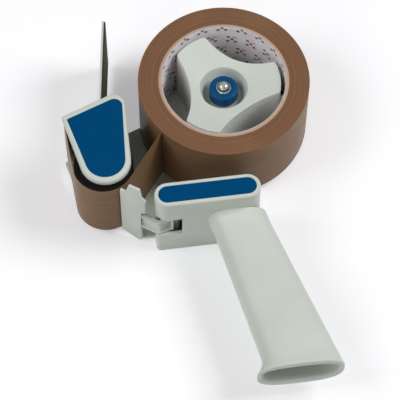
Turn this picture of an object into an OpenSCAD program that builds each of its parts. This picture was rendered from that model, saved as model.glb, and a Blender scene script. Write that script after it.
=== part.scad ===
// Hand-held dispenser for wide packing tape, lying on its back plate.
// Millimetres, +Z up. The origin is on the axis of the roll, at the surface the plate rests on.
// +X runs along the grip housing towards its closed end, and -Y points to the end of the handle.

/* [Tape] */
// Width of the tape
tape_w = 50; // [46:1:56]
// Inside diameter of the card core
core_id = 76.2; // [74:0.1:80]
// Wall of the card core
core_wall = 2.5; // [2:0.5:5]
// Outside diameter of the roll of tape
roll_d = 106; // [98:1:116]
// Thickness of the tape on its way to the blade
web_t = 0.4; // [0.3:0.05:0.6]
// Angle on the roll where the tape peels off
peel_a = 217; // [214:1:220]

/* [Back plate] */
// Thickness of the back plate
plate_t = 3; // [2.6:0.2:5]
// Gap between the back plate and the edge of the tape
plate_gap = 3; // [2.8:0.2:5]
// Diameter of the round end of the plate under the roll
plate_end_d = 43.6; // [38:0.2:50]
// How far the plate reaches past the cover at the blade corner
plate_lip = 0.8; // [0.4:0.1:2]
// Depth of the plate's edge behind the housing's centre line, beside the lever
plate_notch = 1.2; // [0.8:0.1:3]

/* [Roller] */
// Gap between a full roll and the tape on the roller
roller_gap = 22.6; // [20:0.2:30]
// Direction of the roller as seen from the roll's axis
roller_a = 212; // [211:0.5:213]
// Diameter over the rubber sleeve
roller_d = 36.2; // [34:0.2:38]
// Thickness of the rubber sleeve
sleeve_t = 3.1; // [2:0.1:4]
// Wall of the plastic roller core
roller_wall = 3; // [2:0.2:4]
// Thickness of the webs at the ends of the roller core
roller_web_t = 3; // [2:0.2:6]
// Diameter of the steel axle
axle_d = 6; // [5:0.2:7]
// Wall of the bushes in the roller
bush_wall = 2; // [1.4:0.1:2.6]
// Length of each bush
bush_l = 7; // [5:0.5:12]

/* [Front cover] */
// Thickness of the cover
cover_t = 4.2; // [3.8:0.1:6]
// Gap between the tape and the cover
cover_gap = 1; // [0.8:0.1:2]
// Diameter of the round end over the roller
nose_d = 31; // [29:0.2:34]
// Offset of the round end from the roller's axis, towards the roll
nose_x = 1.3; // [0:0.1:1.8]
// Distance of the blade corner from the roller's axis, across
corner_x = 20.6; // [20:0.1:22]
// Distance of the blade corner from the roller's axis, along
corner_y = 33.25; // [31:0.25:38]
// Radius of the blade corner
corner_r = 1.2; // [1:0.1:2]
// Distance of the blunt corner from the roller's axis, across
shoulder_x = 10.1; // [8:0.1:13]
// Distance of the blunt corner from the roller's axis, along
shoulder_y = 38.3; // [37:0.1:43]
// Radius of the blunt corner
shoulder_r = 7.5; // [6:0.1:9]
// Width of the white rim round the inlay at the nose
rim_w = 3.4; // [3:0.1:5]
// Width of the white rim along the cover's edge
side_rim_w = 2.5; // [2:0.1:3]
// Thickness of the coloured inlays
inlay_t = 0.6; // [0.4:0.1:1]
// Depth of an inlay's face below the rim
inlay_drop = 0.2; // [0.1:0.05:0.4]

/* [Bridge and blade] */
// Thickness of the wall that carries the blade
bridge_t = 2.4; // [2:0.1:3]
// Diameter of the screw posts
post_d = 6.8; // [6:0.2:8]
// Distance of the near post from the blade corner, along the wall
post_along = 5.4; // [5:0.1:7]
// Length of the wall along the cover's edge
bridge_l = 20.6; // [18:0.2:21.4]
// Thickness of the steel blade
blade_t = 0.8; // [0.5:0.1:1]
// Width of the blade with its teeth
blade_w = 8.4; // [8:0.2:9]
// How far the blade's back stands behind its screws
blade_back = 3.6; // [3:0.1:4]
// Distance between the blade's screws
blade_screw_gap = 24; // [18:1:32]
// Pitch of the teeth
tooth_pitch = 2; // [1.5:0.1:3]
// Depth of the teeth
tooth_h = 1.6; // [1:0.1:2.2]

/* [Flap] */
// Length of the flap from its pin
flap_l = 61; // [50:1:66]
// Thickness of the flap's carrier
flap_t = 1.2; // [1:0.1:1.8]
// Thickness of the wiper pad on the flap
pad_t = 1; // [0.6:0.1:1.6]
// Direction that the flap leans from +Y towards the roll
flap_a = 8.1; // [4:0.1:12]
// Place of the flap's pin along the cover's edge
flap_along = 25; // [24.6:0.1:27]
// Diameter of the flap's pin
flap_pin_d = 1.8; // [1.4:0.1:2]
// Outside diameter of the flap's knuckles
knuckle_d = 3.4; // [3:0.1:3.6]
// Length of the gap between the knuckles
knuckle_gap = 14; // [12:0.5:18]

/* [Housing] */
// Gap between a full roll and the housing
housing_gap = 14.8; // [13:0.2:20]
// Length of the housing
housing_l = 64.3; // [62:0.1:72]
// Width of the housing
housing_w = 16; // [15.4:0.1:18]
// Reach of the housing past the roll's axis
housing_x = 11.9; // [8:0.1:16]
// Wall of the housing
housing_wall = 2.2; // [1.8:0.1:2.6]
// Thickness of the housing's top
deck_t = 2.5; // [2:0.1:4]
// Height of the housing above the edge of the tape
housing_rise = 1.5; // [1:0.1:3]
// Width of the rim round the inlay of the housing
deck_rim = 2.4; // [1.8:0.1:3.4]
// Height of the square foot at the lever's side
foot_h = 17; // [14:0.5:17.5]
// Radius of the foot's corner
foot_r = 2.5; // [1.5:0.1:4]
// Width of the window for the lever
window_w = 15.9; // [15:0.1:18]
// Height of the window above the foot
window_h = 18.4; // [17:0.1:20]
// Depth of the window's cut behind the housing's front
window_reach = 5.2; // [5:0.1:5.8]
// Distance of the plate's screw post from the housing's left end
post_x = 26.4; // [22:0.2:30]

/* [Handle] */
// Length of the handle from the housing
handle_l = 105.7; // [90:0.1:120]
// Height of the handle
handle_h = 25.8; // [24:0.2:30]
// Wall of the handle
handle_wall = 3; // [2.4:0.1:4]
// Where the handle's left side leaves the housing
handle_left = 19.6; // [18:0.1:22]
// Where the handle's right side leaves the housing
handle_right = 14.3; // [13:0.1:16]
// Sideways run of the left side per unit of length
left_slope = 0.192; // [0.12:0.002:0.24]
// Sideways run of the right side per unit of length
right_slope = 0.302; // [0.24:0.002:0.36]
// Length of the root that spreads against the housing
root_l = 12; // [12:0.5:18]
// Spread of the root on the left side
root_left = 1.2; // [0:0.1:2]
// Spread of the root above and below
root_h = 0.8; // [0:0.1:2]
// Length of the flare at the open end
lip_l = 13.7; // [8:0.1:20]
// Reach of the flare on the left side
lip_left = 7.6; // [2:0.1:9]
// Reach of the flare above and below
lip_h = 2.5; // [0:0.1:4]
// Thickness of the handle's foot against the housing
handle_web_t = 3; // [2.4:0.1:5]
// Distance between the two handle screws
handle_screw_gap = 12; // [11:0.2:14]

/* [Retainer] */
// Thickness of the lever
lever_t = 1.8; // [1.4:0.1:2]
// Gap between the lever's edge and the tape on the roller
lever_gap = 0.4; // [0.35:0.05:0.8]
// Angle on the roller where the lever's edge stands
lever_edge_a = -63; // [-64:0.25:-62]
// Place of the lever's elbow, past the housing's left end
elbow_x = 1.97; // [1.4:0.01:2.4]
// Depth of the lever's elbow behind the housing's front
elbow_y = 2.11; // [1.8:0.01:2.4]
// Length of the lever's arm between its plate and its elbow
arm_l = 8.6; // [7.5:0.1:9.5]
// Width of the slope at each side of the thumb tab
tab_slope = 2.6; // [2:0.1:5]
// Width of the shoulder beside the thumb tab
tab_side = 3.5; // [3:0.1:5]
// Height of the thumb tab above the edge of the tape
tab_h = 10.3; // [8:0.1:16]
// Height of the lever's arm
arm_h = 14; // [12:0.1:14.5]
// Gap between the arm and the top of the foot
arm_gap = 0.5; // [0.4:0.1:1]
// Width of the arm's flanges, from their front edge to the back of the web
flange_w = 2.7; // [2.2:0.1:2.8]
// Thickness of the arm's web
arm_web_t = 1.3; // [1:0.1:1.5]
// Thickness of the rib that closes the arm's channel
arm_rib_t = 1.4; // [1:0.1:1.8]
// Place of that rib's front, past the housing's left end
arm_end_x = 9.9; // [9.4:0.1:10.4]
// Depth of that rib's front behind the housing's front
arm_end_y = 2.9; // [2.6:0.1:3.2]
// Diameter of the lever's pin
lever_pin_d = 3; // [2.4:0.1:3.4]
// Outside diameter of the lever's barrel
barrel_d = 6.4; // [6:0.1:6.8]
// Distance of the lever's pin from the housing's left end
lever_pin_x = 12.4; // [12:0.1:13.5]
// Distance of the lever's pin behind the housing's centre line
lever_pin_y = 1.8; // [1.4:0.1:2]

/* [Hub] */
// Gap between the hub's lobes and the card core
lobe_gap = 2.6; // [1.6:0.1:4]
// Smallest distance from the axis to a scallop
scallop_min = 20.8; // [19:0.1:23]
// Radius of the scallops
scallop_r = 50.5; // [46:0.5:56]
// Wall of the hub
hub_wall = 2; // [1.6:0.1:2.6]
// Height of the lobes' outer edge below the edge of the tape
lobe_drop = 3.5; // [2:0.1:6]
// Rise of the dished face from the recess to the lobes
dish_h = 6.2; // [3:0.1:8]
// Diameter of the recess at its mouth
recess_d = 29.4; // [27:0.2:32]
// Diameter of the recess at its floor
recess_floor_d = 23; // [21:0.2:25]
// Depth of the recess
recess_h = 9.9; // [8.5:0.1:11]
// Diameter of the hub's flange under the roll
flange_d = 89; // [84:1:94]
// Thickness of the hub's flange
flange_t = 2; // [1.6:0.1:2.4]
// Width of the ribs that grip the core
rib_w = 2; // [1.5:0.1:3]
// Outside diameter of the hub's inner tube
tube_d = 18; // [17.6:0.1:19]
// Height of the seat for the bush's collar above the flange
seat_h = 12; // [9:0.5:15]

/* [Brake] */
// Diameter of the spindle in the bush
spindle_d = 8; // [7:0.1:8.4]
// Diameter of the spindle's thread
thread_d = 6; // [5:0.1:6.4]
// Diameter of the spindle's head in the plate
spindle_head_d = 20; // [16:0.5:24]
// Thickness of plate left under the spindle's head
head_skin = 1.2; // [0.8:0.1:1.4]
// Outside diameter of the friction washer
brake_d = 34; // [28:0.5:40]
// Wall of the hub's bush
hub_bush_wall = 1.5; // [1.2:0.1:1.8]
// Diameter of the brake spring's wire
spring_wire_d = 1.2; // [0.8:0.1:1.4]
// Turns of the brake spring
spring_turns = 6; // [4:1:8]
// Thickness of the washer on the spring
thrust_t = 1.2; // [0.8:0.1:2]
// Diameter of the tension knob
knob_d = 18.1; // [16:0.1:20]
// Height of the tension knob
knob_h = 8.6; // [7.5:0.1:10]
// Free travel of the knob towards the hub
knob_travel = 1.6; // [1.4:0.1:2.4]
// Diameter of the chrome cap nut
nut_d = 9.4; // [9:0.1:10.4]
// Height of the cap nut's dome above the knob
nut_dome_h = 4; // [3.6:0.1:5]
// Depth of the cap nut's base in the knob
nut_seat = 3; // [2:0.1:4]

/* [Fasteners] */
// Diameter of the frame screws
screw_d = 2.8; // [2.4:0.1:3]
// Diameter of the frame screws' heads
head_d = 5.6; // [5:0.1:6]
// Height of the frame screws' heads
head_h = 1.5; // [1.2:0.1:1.6]
// Length of the frame screws
screw_l = 12; // [8:0.5:14]

/* [Clearances] */
// Running clearance of a shaft, on the radius
run_c = 0.05; // [0.02:0.01:0.08]
// Clearance of a fixed pin or screw in its hole, on the radius
pin_c = 0.03; // [0.02:0.01:0.08]
// Clearance between parts that pass each other
pass_c = 0.3; // [0.3:0.05:0.5]

/* [Hidden] */
$fn = 96;
eps = 0.01;

// Colours
WHITE = [0.82, 0.84, 0.81];
BLUE = [0.02, 0.27, 0.45];
STEEL = [0.62, 0.63, 0.65];
CHROME = [0.85, 0.86, 0.88];
RUBBER = [0.08, 0.08, 0.08];
NYLON = [0.86, 0.83, 0.74];
FIBRE = [0.42, 0.27, 0.16];
CARD = [0.68, 0.56, 0.49];
TAPE = [0.47, 0.34, 0.25];
DARK = [0.18, 0.18, 0.14];

// Levels above the resting surface
tape_z = plate_t + plate_gap;
tape_top = tape_z + tape_w;
mid_z = tape_z + tape_w / 2;
cover_z = tape_top + cover_gap;
cover_top = cover_z + cover_t;
housing_top = tape_top + housing_rise;
inner_top = housing_top - deck_t;

// Radii
roll_r = roll_d / 2;
core_r = core_id / 2;
roller_r = roller_d / 2;
// The sleeve slips a little under the tape
web_gap = 0.25;
web_in_r = roller_r + web_gap;
web_out_r = web_in_r + web_t;

// Direction and place helpers
function unit(a) = [cos(a), sin(a)];
function turn(p, a) = [p[0] * cos(a) - p[1] * sin(a), p[0] * sin(a) + p[1] * cos(a)];
function up(p, z) = [p[0], p[1], z];
function dir_of(p, q) = atan2(q[1] - p[1], q[0] - p[0]);

// Roller, and the cover's circles as [centre, radius]
roller_c = (roll_r + roller_gap + web_out_r) * unit(roller_a);
nose = [roller_c + [nose_x, nose_x / 2], nose_d / 2];
corner = [roller_c + [-corner_x, corner_y], corner_r];
shoulder = [roller_c + [shoulder_x, shoulder_y], shoulder_r];

// The cover's long edge is the line that touches both corners
edge_a = dir_of(corner[0], shoulder[0])
  + asin((shoulder[1] - corner[1]) / norm(shoulder[0] - corner[0]));
// A place near the cover's edge: along it from the blade corner, and out from the corner's centre
function on_edge(along, out) = corner[0] + turn([along, out], edge_a);
shoulder_along = turn(shoulder[0] - corner[0], -edge_a)[0];

// The bridge's outer face leaves room for the blade, and the posts stand back from it a little
wall_inset = 0.2;
wall_out = corner_r - wall_inset - blade_t - pin_c;
near_post = on_edge(post_along, wall_out - post_d / 2 - wall_inset);
far_post = shoulder[0];
flap_c = on_edge(flap_along, corner_r - wall_inset - knuckle_d / 2);

// Housing: centres of its two round ends
housing_r = housing_w / 2;
housing_y = -(roll_r + housing_gap + housing_r);
right_c = [housing_x - housing_r, housing_y];
left_c = [housing_x - housing_l + housing_r, housing_y];
housing_left = housing_x - housing_l;
front_y = housing_y - housing_r;
foot_c = [housing_left + foot_r, front_y + foot_r];
inside_r = housing_r - housing_wall;
window_z = plate_t + foot_h;

// Retainer: the lever's plate runs from beside the tape on the roller to its elbow in the window
lever_c = [housing_left + lever_pin_x, housing_y + lever_pin_y];
lever_start = roller_c + (web_out_r + lever_gap) * unit(lever_edge_a);
lever_turn = [housing_left + elbow_x, front_y + elbow_y];
lever_l = norm(lever_turn - lever_start);
lever_a = dir_of(lever_start, lever_turn);
lever_dir = unit(lever_a);
lever_back = unit(lever_a + 90);
lever_edge = lever_start - lever_t * lever_back;
lever_front = lever_edge + lever_l * lever_dir;
elbow = lever_front + (flange_w - arm_web_t / 2) * lever_back;
arm_end = [housing_left + arm_end_x, front_y + arm_end_y];
lever_w = lever_l - arm_l;
arm_root = lever_w - tab_side;
arm_z = plate_t + foot_h + arm_gap;

// Posts inside the housing that take the plate's screws
boss_d = screw_d + 4;
housing_posts = [[housing_left + post_x, housing_y], [housing_x - boss_d / 2 - 3, housing_y]];

// Screws of the handle, midway along the housing's straight front
handle_screw_mid = (handle_right - handle_left) / 2 + 2.2;
handle_screw_places = [for (k = [-1, 1]) handle_screw_mid + k * handle_screw_gap / 2];
thread_end = 1.5;
boss_l = screw_l - handle_web_t - housing_wall + thread_end;

// Depth of the screws' heads in the plate, and where the pins end in their covers
screw_sink = 0.2;
axle_top = cover_z + 0.8;
flap_pin_top = cover_z + 1.5;
lever_pin_top = inner_top - 1;
deck_boss_z = arm_z + arm_h + 8;

// Hub and brake levels
flange_z = tape_z - flange_t;
lobe_r = core_r - lobe_gap;
lobe_top = tape_top - lobe_drop;
dish_z = lobe_top - dish_h;
floor_z = dish_z - recess_h;
seat_z = flange_z + flange_t + seat_h;
bush_r = spindle_d / 2 + run_c + hub_bush_wall;
tube_in = tube_d / 2 - hub_wall;
collar_t = 1.5;
knob_z = floor_z + knob_travel;
knob_top = knob_z + knob_h;
spring_z = seat_z;
spring_h = knob_z - thrust_t - spring_z;
nut_bore_top = knob_top + 1.7;
scallop_c = scallop_min + scallop_r;

// Normal of the line that touches circle p and then circle q on the right of the way from p to q
function touch(p, q) = unit(dir_of(p[0], q[0]) - acos((p[1] - q[1]) / norm(q[0] - p[0])));

// Outline that a tight band round the circles would take; they are given anticlockwise.
// Its straight sides run a hair inside the circles, so that the two cross cleanly
tuck = 0.03;
module band(circles) {
  n = len(circles);
  polygon([for (i = [0:n - 1]) let (p = circles[i], q = circles[(i + 1) % n], t = touch(p, q))
    each [p[0] + (p[1] - tuck) * t, q[0] + (q[1] - tuck) * t]]);
  for (c = circles) translate(c[0]) circle(r = c[1]);
}

// Upright cylinder at a place in plan, from one level to another
module rod(p, d, low, high) {
  translate(up(p, low)) cylinder(d = d, h = high - low);
}

// Straight bar between two places in plan, and the upright wall that stands on it
module bar(p, q, t) {
  translate(p) rotate([0, 0, dir_of(p, q)]) translate([0, -t / 2]) square([norm(q - p), t]);
}
module wall(p, q, t, low, high) {
  translate([0, 0, low]) linear_extrude(high - low) bar(p, q, t);
}

// Closed skin over a list of rings that all have the same number of points
module skin(rings) {
  n = len(rings[0]);
  m = len(rings);
  polyhedron(points = [for (r = rings) each r],
    faces = concat(
      [[for (i = [0:n - 1]) i]],
      [for (j = [0:m - 2], i = [0:n - 1]) let (k = (i + 1) % n)
        each [[j * n + i, (j + 1) * n + k, j * n + k], [j * n + i, (j + 1) * n + i, (j + 1) * n + k]]],
      [[for (i = [n - 1:-1:0]) (m - 1) * n + i]]));
}

// Wire wound about the Z axis, given as [radius, wire diameter, turns, height]
coil_steps = 8;
coil_sides = 6;
function coil_point(c, i) = [c[0] * cos(360 * i / coil_steps), c[0] * sin(360 * i / coil_steps),
  c[3] * i / (c[2] * coil_steps)];
module coil(c) {
  skin([for (i = [0:c[2] * coil_steps]) let (p = coil_point(c, i), out = unit(360 * i / coil_steps))
    [for (k = [coil_sides - 1:-1:0]) let (b = 360 * k / coil_sides, reach = c[1] / 2 * cos(b))
      [p[0] + reach * out[0], p[1] + reach * out[1], p[2] + c[1] / 2 * sin(b)]]]);
}
// Least gap between a coil's turns, measured between points that lie over half a turn apart
function coil_gap(c) = min([for (i = [0:coil_steps], j = [i + coil_steps / 2 + 1:c[2] * coil_steps])
  norm(coil_point(c, i) - coil_point(c, j))]) - c[1];

// Plan of the back plate
module plate_plan() {
  plate_corner = [corner[0] + [-plate_lip, 0], corner_r];
  round_end = [[0, 0], plate_end_d / 2];
  right_end = [right_c, housing_r];
  band([nose, round_end, plate_corner]);
  side = lever_edge + (lever_t + plate_notch) * lever_back;
  right = touch(right_end, round_end);
  polygon([[0, 0], (round_end[1] - tuck) * right, right_c + (housing_r - tuck) * right, right_c,
    [right_c[0], front_y], [foot_c[0], front_y], foot_c, [housing_left, foot_c[1]],
    [housing_left, housing_y + plate_notch],
    side + (lever_w - 2.5) * lever_dir, side - 3 * lever_dir, roller_c]);
  translate(right_c) circle(r = housing_r);
  translate(foot_c) circle(r = foot_r);
}

// Square foot at the housing's left end
module foot_plan() {
  translate(foot_c) circle(r = foot_r);
  translate([housing_left, foot_c[1]]) square([housing_r, housing_r - foot_r]);
  translate([foot_c[0], front_y]) square([housing_r - foot_r, housing_r]);
}

// Plan of the housing, drawn in by a margin
module housing_plan(margin) {
  translate([left_c[0], housing_y - housing_r + margin])
    square([right_c[0] - left_c[0], 2 * (housing_r - margin)]);
  for (c = [left_c, right_c]) translate(c) circle(r = housing_r - margin);
}

// The screws through the plate from below
plate_screw_places = [near_post, far_post, housing_posts[0], housing_posts[1]];

module back_plate() color(WHITE) difference() {
  union() {
    linear_extrude(plate_t) plate_plan();
    rod(roller_c, axle_d + 4, plate_t - eps, tape_z - run_c);
    rod(lever_c, barrel_d, plate_t - eps, arm_z - run_c);
  }
  rod(roller_c, axle_d + 2 * pin_c, plate_t / 2, tape_z + 1);
  rod(lever_c, lever_pin_d + 2 * pin_c, plate_t / 2, arm_z + 1);
  rod(flap_c, flap_pin_d + 2 * pin_c, plate_t / 2, plate_t + 1);
  translate([0, 0, head_skin]) cylinder(d = spindle_head_d + 2 * pin_c, h = plate_t, $fn = 6);
  for (p = plate_screw_places) {
    rod(p, head_d + 2 * pin_c, -1, screw_sink + head_h);
    rod(p, screw_d + 2 * pin_c, -1, plate_t + 1);
  }
}

module plate_screws() color(STEEL) for (p = plate_screw_places) {
  rod(p, head_d, screw_sink, screw_sink + head_h);
  rod(p, screw_d, screw_sink, screw_l);
}

module housing() color(WHITE) {
  difference() {
    union() {
      translate([0, 0, plate_t]) linear_extrude(housing_top - plate_t) housing_plan(0);
      translate([0, 0, plate_t]) linear_extrude(foot_h) foot_plan();
    }
    difference() {
      translate([0, 0, plate_t - 1]) linear_extrude(inner_top - plate_t + 1) housing_plan(housing_wall);
      for (p = housing_posts) {
        rod(p, boss_d, plate_t - 2, plate_t + foot_h);
        wall(p - [0, inside_r + eps], p + [0, inside_r + eps], housing_wall, plate_t - 2, plate_t + foot_h);
      }
      for (x = handle_screw_places) translate([x, front_y, mid_z]) rotate([-90, 0, 0])
        cylinder(d = boss_d, h = housing_wall + boss_l);
      rod(lever_c, barrel_d, deck_boss_z, inner_top + 1);
    }
    for (p = housing_posts) rod(p, screw_d + 2 * pin_c, plate_t - 1, screw_l + 1);
    for (x = handle_screw_places) translate([x, front_y - 1, mid_z]) rotate([-90, 0, 0])
      cylinder(d = screw_d + 2 * pin_c, h = screw_l - handle_web_t + thread_end);
    rod(lever_c, lever_pin_d + 2 * pin_c, deck_boss_z - 1, lever_pin_top + pin_c);
    translate([housing_left - 1, front_y - 1, window_z])
      cube([window_w + 1, window_reach + 1, window_h]);
    translate([0, 0, housing_top - inlay_drop - inlay_t]) linear_extrude(deck_t) housing_plan(deck_rim);
  }
}

module housing_inlay() color(BLUE) translate([0, 0, housing_top - inlay_drop - inlay_t])
  linear_extrude(inlay_t) housing_plan(deck_rim + pin_c);

// The handle's section at a distance from the housing, drawn in by a wall: a squared oval that
// flares at the open end and spreads a little at its root
section_points = 40;
squareness = 0.72;
function flare(s) = pow(max(0, (s - handle_l + lip_l) / lip_l), 2);
function root(s) = pow(max(0, 1 - s / root_l), 2);
function handle_ring(s, t) = let (
    left = -handle_left + left_slope * s - lip_left * flare(s) - root_left * root(s) + t,
    right = handle_right + right_slope * s + root_left / 2 * root(s) - t,
    half = handle_h / 2 + lip_h * flare(s) + root_h * root(s) - t,
    mid = (left + right) / 2,
    wide = (right - left) / 2)
  [for (i = [0:section_points - 1]) let (a = 360 * i / section_points)
    [mid + wide * sign(cos(a)) * pow(abs(cos(a)), squareness), front_y - s,
      mid_z + half * sign(sin(a)) * pow(abs(sin(a)), squareness)]];

// Distances of the sections; the handle starts inside the housing's round end
root_sections = [for (k = [2:4]) root_l * k / 4];
grip_l = handle_l - lip_l - root_l;
grip_sections = [for (k = [1, 2]) root_l + grip_l * k / 3];
lip_sections = [for (k = [0:2]) handle_l - lip_l * (1 - k / 3)];

module handle() color(WHITE) difference() {
  foot_sections = [-0.8 * housing_r, 0, root_l / 4];
  skin([for (s = concat(foot_sections, root_sections, grip_sections, lip_sections, [handle_l]))
    handle_ring(s, 0)]);
  skin([for (s = concat([handle_web_t], root_sections, grip_sections, lip_sections, [handle_l + 1]))
    handle_ring(s, handle_wall)]);
  linear_extrude(housing_top) housing_plan(-pin_c);
  for (x = handle_screw_places) translate([x, front_y - handle_web_t - 1, mid_z])
    rotate([-90, 0, 0]) cylinder(d = screw_d + 2 * pin_c, h = handle_web_t + 2);
}

module handle_screws() color(STEEL) for (x = handle_screw_places)
  translate([x, front_y - handle_web_t, mid_z]) rotate([-90, 0, 0]) {
    translate([0, 0, -head_h]) cylinder(d = head_d, h = head_h);
    translate([0, 0, -eps]) cylinder(d = screw_d, h = screw_l);
  }

// Plan of the cover's inlay
inlay_nose = [nose[0], nose_d / 2 - rim_w];
inlay_shoulder = [shoulder[0] + [0.6, -1.2], shoulder_r - side_rim_w];
inlay_corner = [corner[0] + [side_rim_w + 0.4, -side_rim_w], 1];
module inlay_plan(margin) {
  band([for (c = [inlay_nose, inlay_shoulder, inlay_corner]) [c[0], c[1] - margin]]);
}

cover_screw_places = [near_post, far_post];
// Level of the cover screws' heads, under the inlay
cover_head_z = cover_top - inlay_drop - inlay_t - head_h;

module front_cover() color(WHITE) difference() {
  translate([0, 0, cover_z]) union() {
    linear_extrude(cover_t) band([nose, shoulder, corner]);
    translate(up(roller_c, 0.1 - cover_gap)) cylinder(d = axle_d + 4, h = cover_gap);
  }
  translate([0, 0, cover_top - inlay_drop - inlay_t]) linear_extrude(cover_t) inlay_plan(0);
  rod(roller_c, axle_d + 2 * pin_c, tape_top - 1, axle_top + pin_c);
  rod(flap_c, flap_pin_d + 2 * pin_c, cover_z - 1, flap_pin_top + pin_c);
  for (p = concat(cover_screw_places, [roller_c])) {
    rod(p, head_d + 2 * pin_c, cover_head_z, cover_top);
    rod(p, screw_d + 2 * pin_c, cover_z - 1, cover_top);
  }
}

module cover_inlay() color(BLUE) translate([0, 0, cover_top - inlay_drop - inlay_t])
  linear_extrude(inlay_t) inlay_plan(pin_c);

module cover_screws() color(STEEL) for (p = cover_screw_places) frame_screw(p);

module axle_screw() color(STEEL) frame_screw(roller_c);

// Screw that comes down through the cover
module frame_screw(p) {
  rod(p, head_d, cover_head_z, cover_head_z + head_h);
  rod(p, screw_d, cover_head_z + head_h - screw_l, cover_head_z + head_h);
}

module bridge() color(WHITE) difference() {
  translate([0, 0, plate_t]) linear_extrude(cover_z - plate_t) difference() {
    knee = on_edge(bridge_l, wall_out - bridge_t / 2);
    union() {
      bar(on_edge(1, wall_out - bridge_t / 2), on_edge(bridge_l + bridge_t / 2, wall_out - bridge_t / 2),
        bridge_t);
      bar(knee, far_post, bridge_t);
      for (p = [near_post, far_post]) translate(p) circle(d = post_d);
    }
    translate(flap_c) circle(d = knuckle_d + 2 * pass_c);
  }
  for (p = [near_post, far_post]) {
    rod(p, screw_d + 2 * pin_c, plate_t - 1, screw_l + 1);
    rod(p, screw_d + 2 * pin_c, cover_z + cover_t - screw_l - 1, cover_z + 1);
  }
  for (z = blade_screw_z) blade_screw_line(z, screw_d + 2 * pin_c, 0);
}

// Screws of the blade, square to the wall, at two levels
blade_screw_z = [for (k = [-1, 1]) mid_z + k * blade_screw_gap / 2];
blade_screw_l = 5;
blade_head_h = 0.9;
blade_head_d = head_d - 0.8;
module blade_screw_line(z, d, extra) {
  translate(up(on_edge(post_along, wall_out + blade_t + extra), z)) rotate([90, 0, edge_a])
    cylinder(d = d, h = blade_screw_l + extra);
}

module cutter_blade() color(STEEL) difference() {
  translate(up(on_edge(post_along, wall_out + pin_c / 2), mid_z)) rotate([90, 0, edge_a])
    translate([0, 0, -blade_t]) linear_extrude(blade_t) blade_plan();
  for (z = blade_screw_z) blade_screw_line(z, screw_d + 2 * pin_c, 1);
}

// The blade seen from its face: straight at the back, toothed at the front
module blade_plan() {
  back = blade_back;
  tip = back - blade_w;
  half = tape_w / 2 - 1;
  count = floor(2 * half / tooth_pitch);
  polygon(concat([[back, half], [back, -half]],
    [for (i = [0:count - 1]) each [[tip + tooth_h, -half + 2 * half * i / count],
      [tip, -half + 2 * half * (i + 0.5) / count]]],
    [[tip + tooth_h, half]]));
}

module blade_screws() color(STEEL) for (z = blade_screw_z) {
  blade_screw_line(z, screw_d, blade_head_h / 2);
  translate(up(on_edge(post_along, wall_out + blade_t + pin_c + blade_head_h), z))
    rotate([90, 0, edge_a]) cylinder(d = blade_head_d, h = blade_head_h);
}

module roller_axle() color(STEEL) difference() {
  rod(roller_c, axle_d, plate_t / 2, axle_top);
  rod(roller_c, screw_d + 2 * pin_c, cover_head_z + head_h - screw_l - 1, axle_top + 1);
}

module roller_core() color(NYLON) difference() {
  rod(roller_c, 2 * (roller_r - sleeve_t), tape_z, tape_top);
  rod(roller_c, 2 * (roller_r - sleeve_t - roller_wall), tape_z + roller_web_t, tape_top - roller_web_t);
  rod(roller_c, axle_d + 2 * (run_c + bush_wall + pin_c), tape_z - 1, tape_top + 1);
}

module roller_bushes() color(FIBRE) for (z = [tape_z, tape_top - bush_l]) difference() {
  rod(roller_c, axle_d + 2 * (run_c + bush_wall), z, z + bush_l);
  rod(roller_c, axle_d + 2 * run_c, z - 1, z + bush_l + 1);
}

module roller_sleeve() color(RUBBER) difference() {
  rod(roller_c, roller_d, tape_z, tape_top);
  rod(roller_c, 2 * (roller_r - sleeve_t + pin_c), tape_z - 1, tape_top + 1);
}

// The flap lies along its own X axis here, and is then turned to its place
flap_face = knuckle_d / 2 - 0.2;
module place_flap() translate(up(flap_c, 0)) rotate([0, 0, 90 - flap_a]) children();

module flap_carrier() color(WHITE) difference() {
  place_flap() translate([0, 0, tape_z]) linear_extrude(tape_w) difference() {
    union() {
      circle(d = knuckle_d);
      translate([0, flap_face - flap_t]) square([flap_l, flap_t]);
    }
    circle(d = flap_pin_d + 2 * run_c);
  }
  translate(up(flap_c, mid_z - knuckle_gap / 2)) cylinder(d = knuckle_d + 2 * pass_c, h = knuckle_gap);
}

module wiper_pad() color(DARK) place_flap()
  translate([knuckle_d, flap_face - flap_t - pad_t, tape_z + 0.5])
  cube([flap_l - knuckle_d, pad_t, tape_w - 1]);

module flap_pin() color(STEEL) rod(flap_c, flap_pin_d, plate_t / 2 + pin_c, flap_pin_top);

flap_wire_d = 0.5;
flap_coil_end = 1.2;
flap_coil = [flap_pin_d / 2 + flap_wire_d, flap_wire_d, 9, knuckle_gap - 2 * flap_coil_end];
module flap_spring() color(STEEL) translate(up(flap_c, mid_z - knuckle_gap / 2 + flap_coil_end))
  rotate([0, 0, edge_a]) coil(flap_coil);

// The lever's plate, seen from its face: along it from its edge, and up
lever_low = 1.4;
lever_bevel = 2.2;
module lever_face() {
  tab_top = tape_top + tab_h;
  leg = lever_w - 2.9;
  step = 2.6;
  polygon([[0, tape_z], [0, tape_top], [tab_side, tape_top], [tab_side + tab_slope, tab_top],
    [lever_w - step - 1, tab_top], [lever_w - step, tape_top + step / 2], [lever_w, tape_top - step / 2],
    [lever_w, arm_z + arm_h + tab_side + tab_slope], [leg, arm_z + arm_h + tab_side],
    [leg, lever_low + lever_bevel], [leg - lever_bevel, lever_low], [0.75 * leg, lever_low]]);
}

// Stands a face drawn in the lever's plane upright, with its outer side in front
module lever_plane(t) translate(up(lever_edge, 0)) rotate([90, 0, lever_a]) translate([0, 0, -t])
  linear_extrude(t) children();

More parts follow.
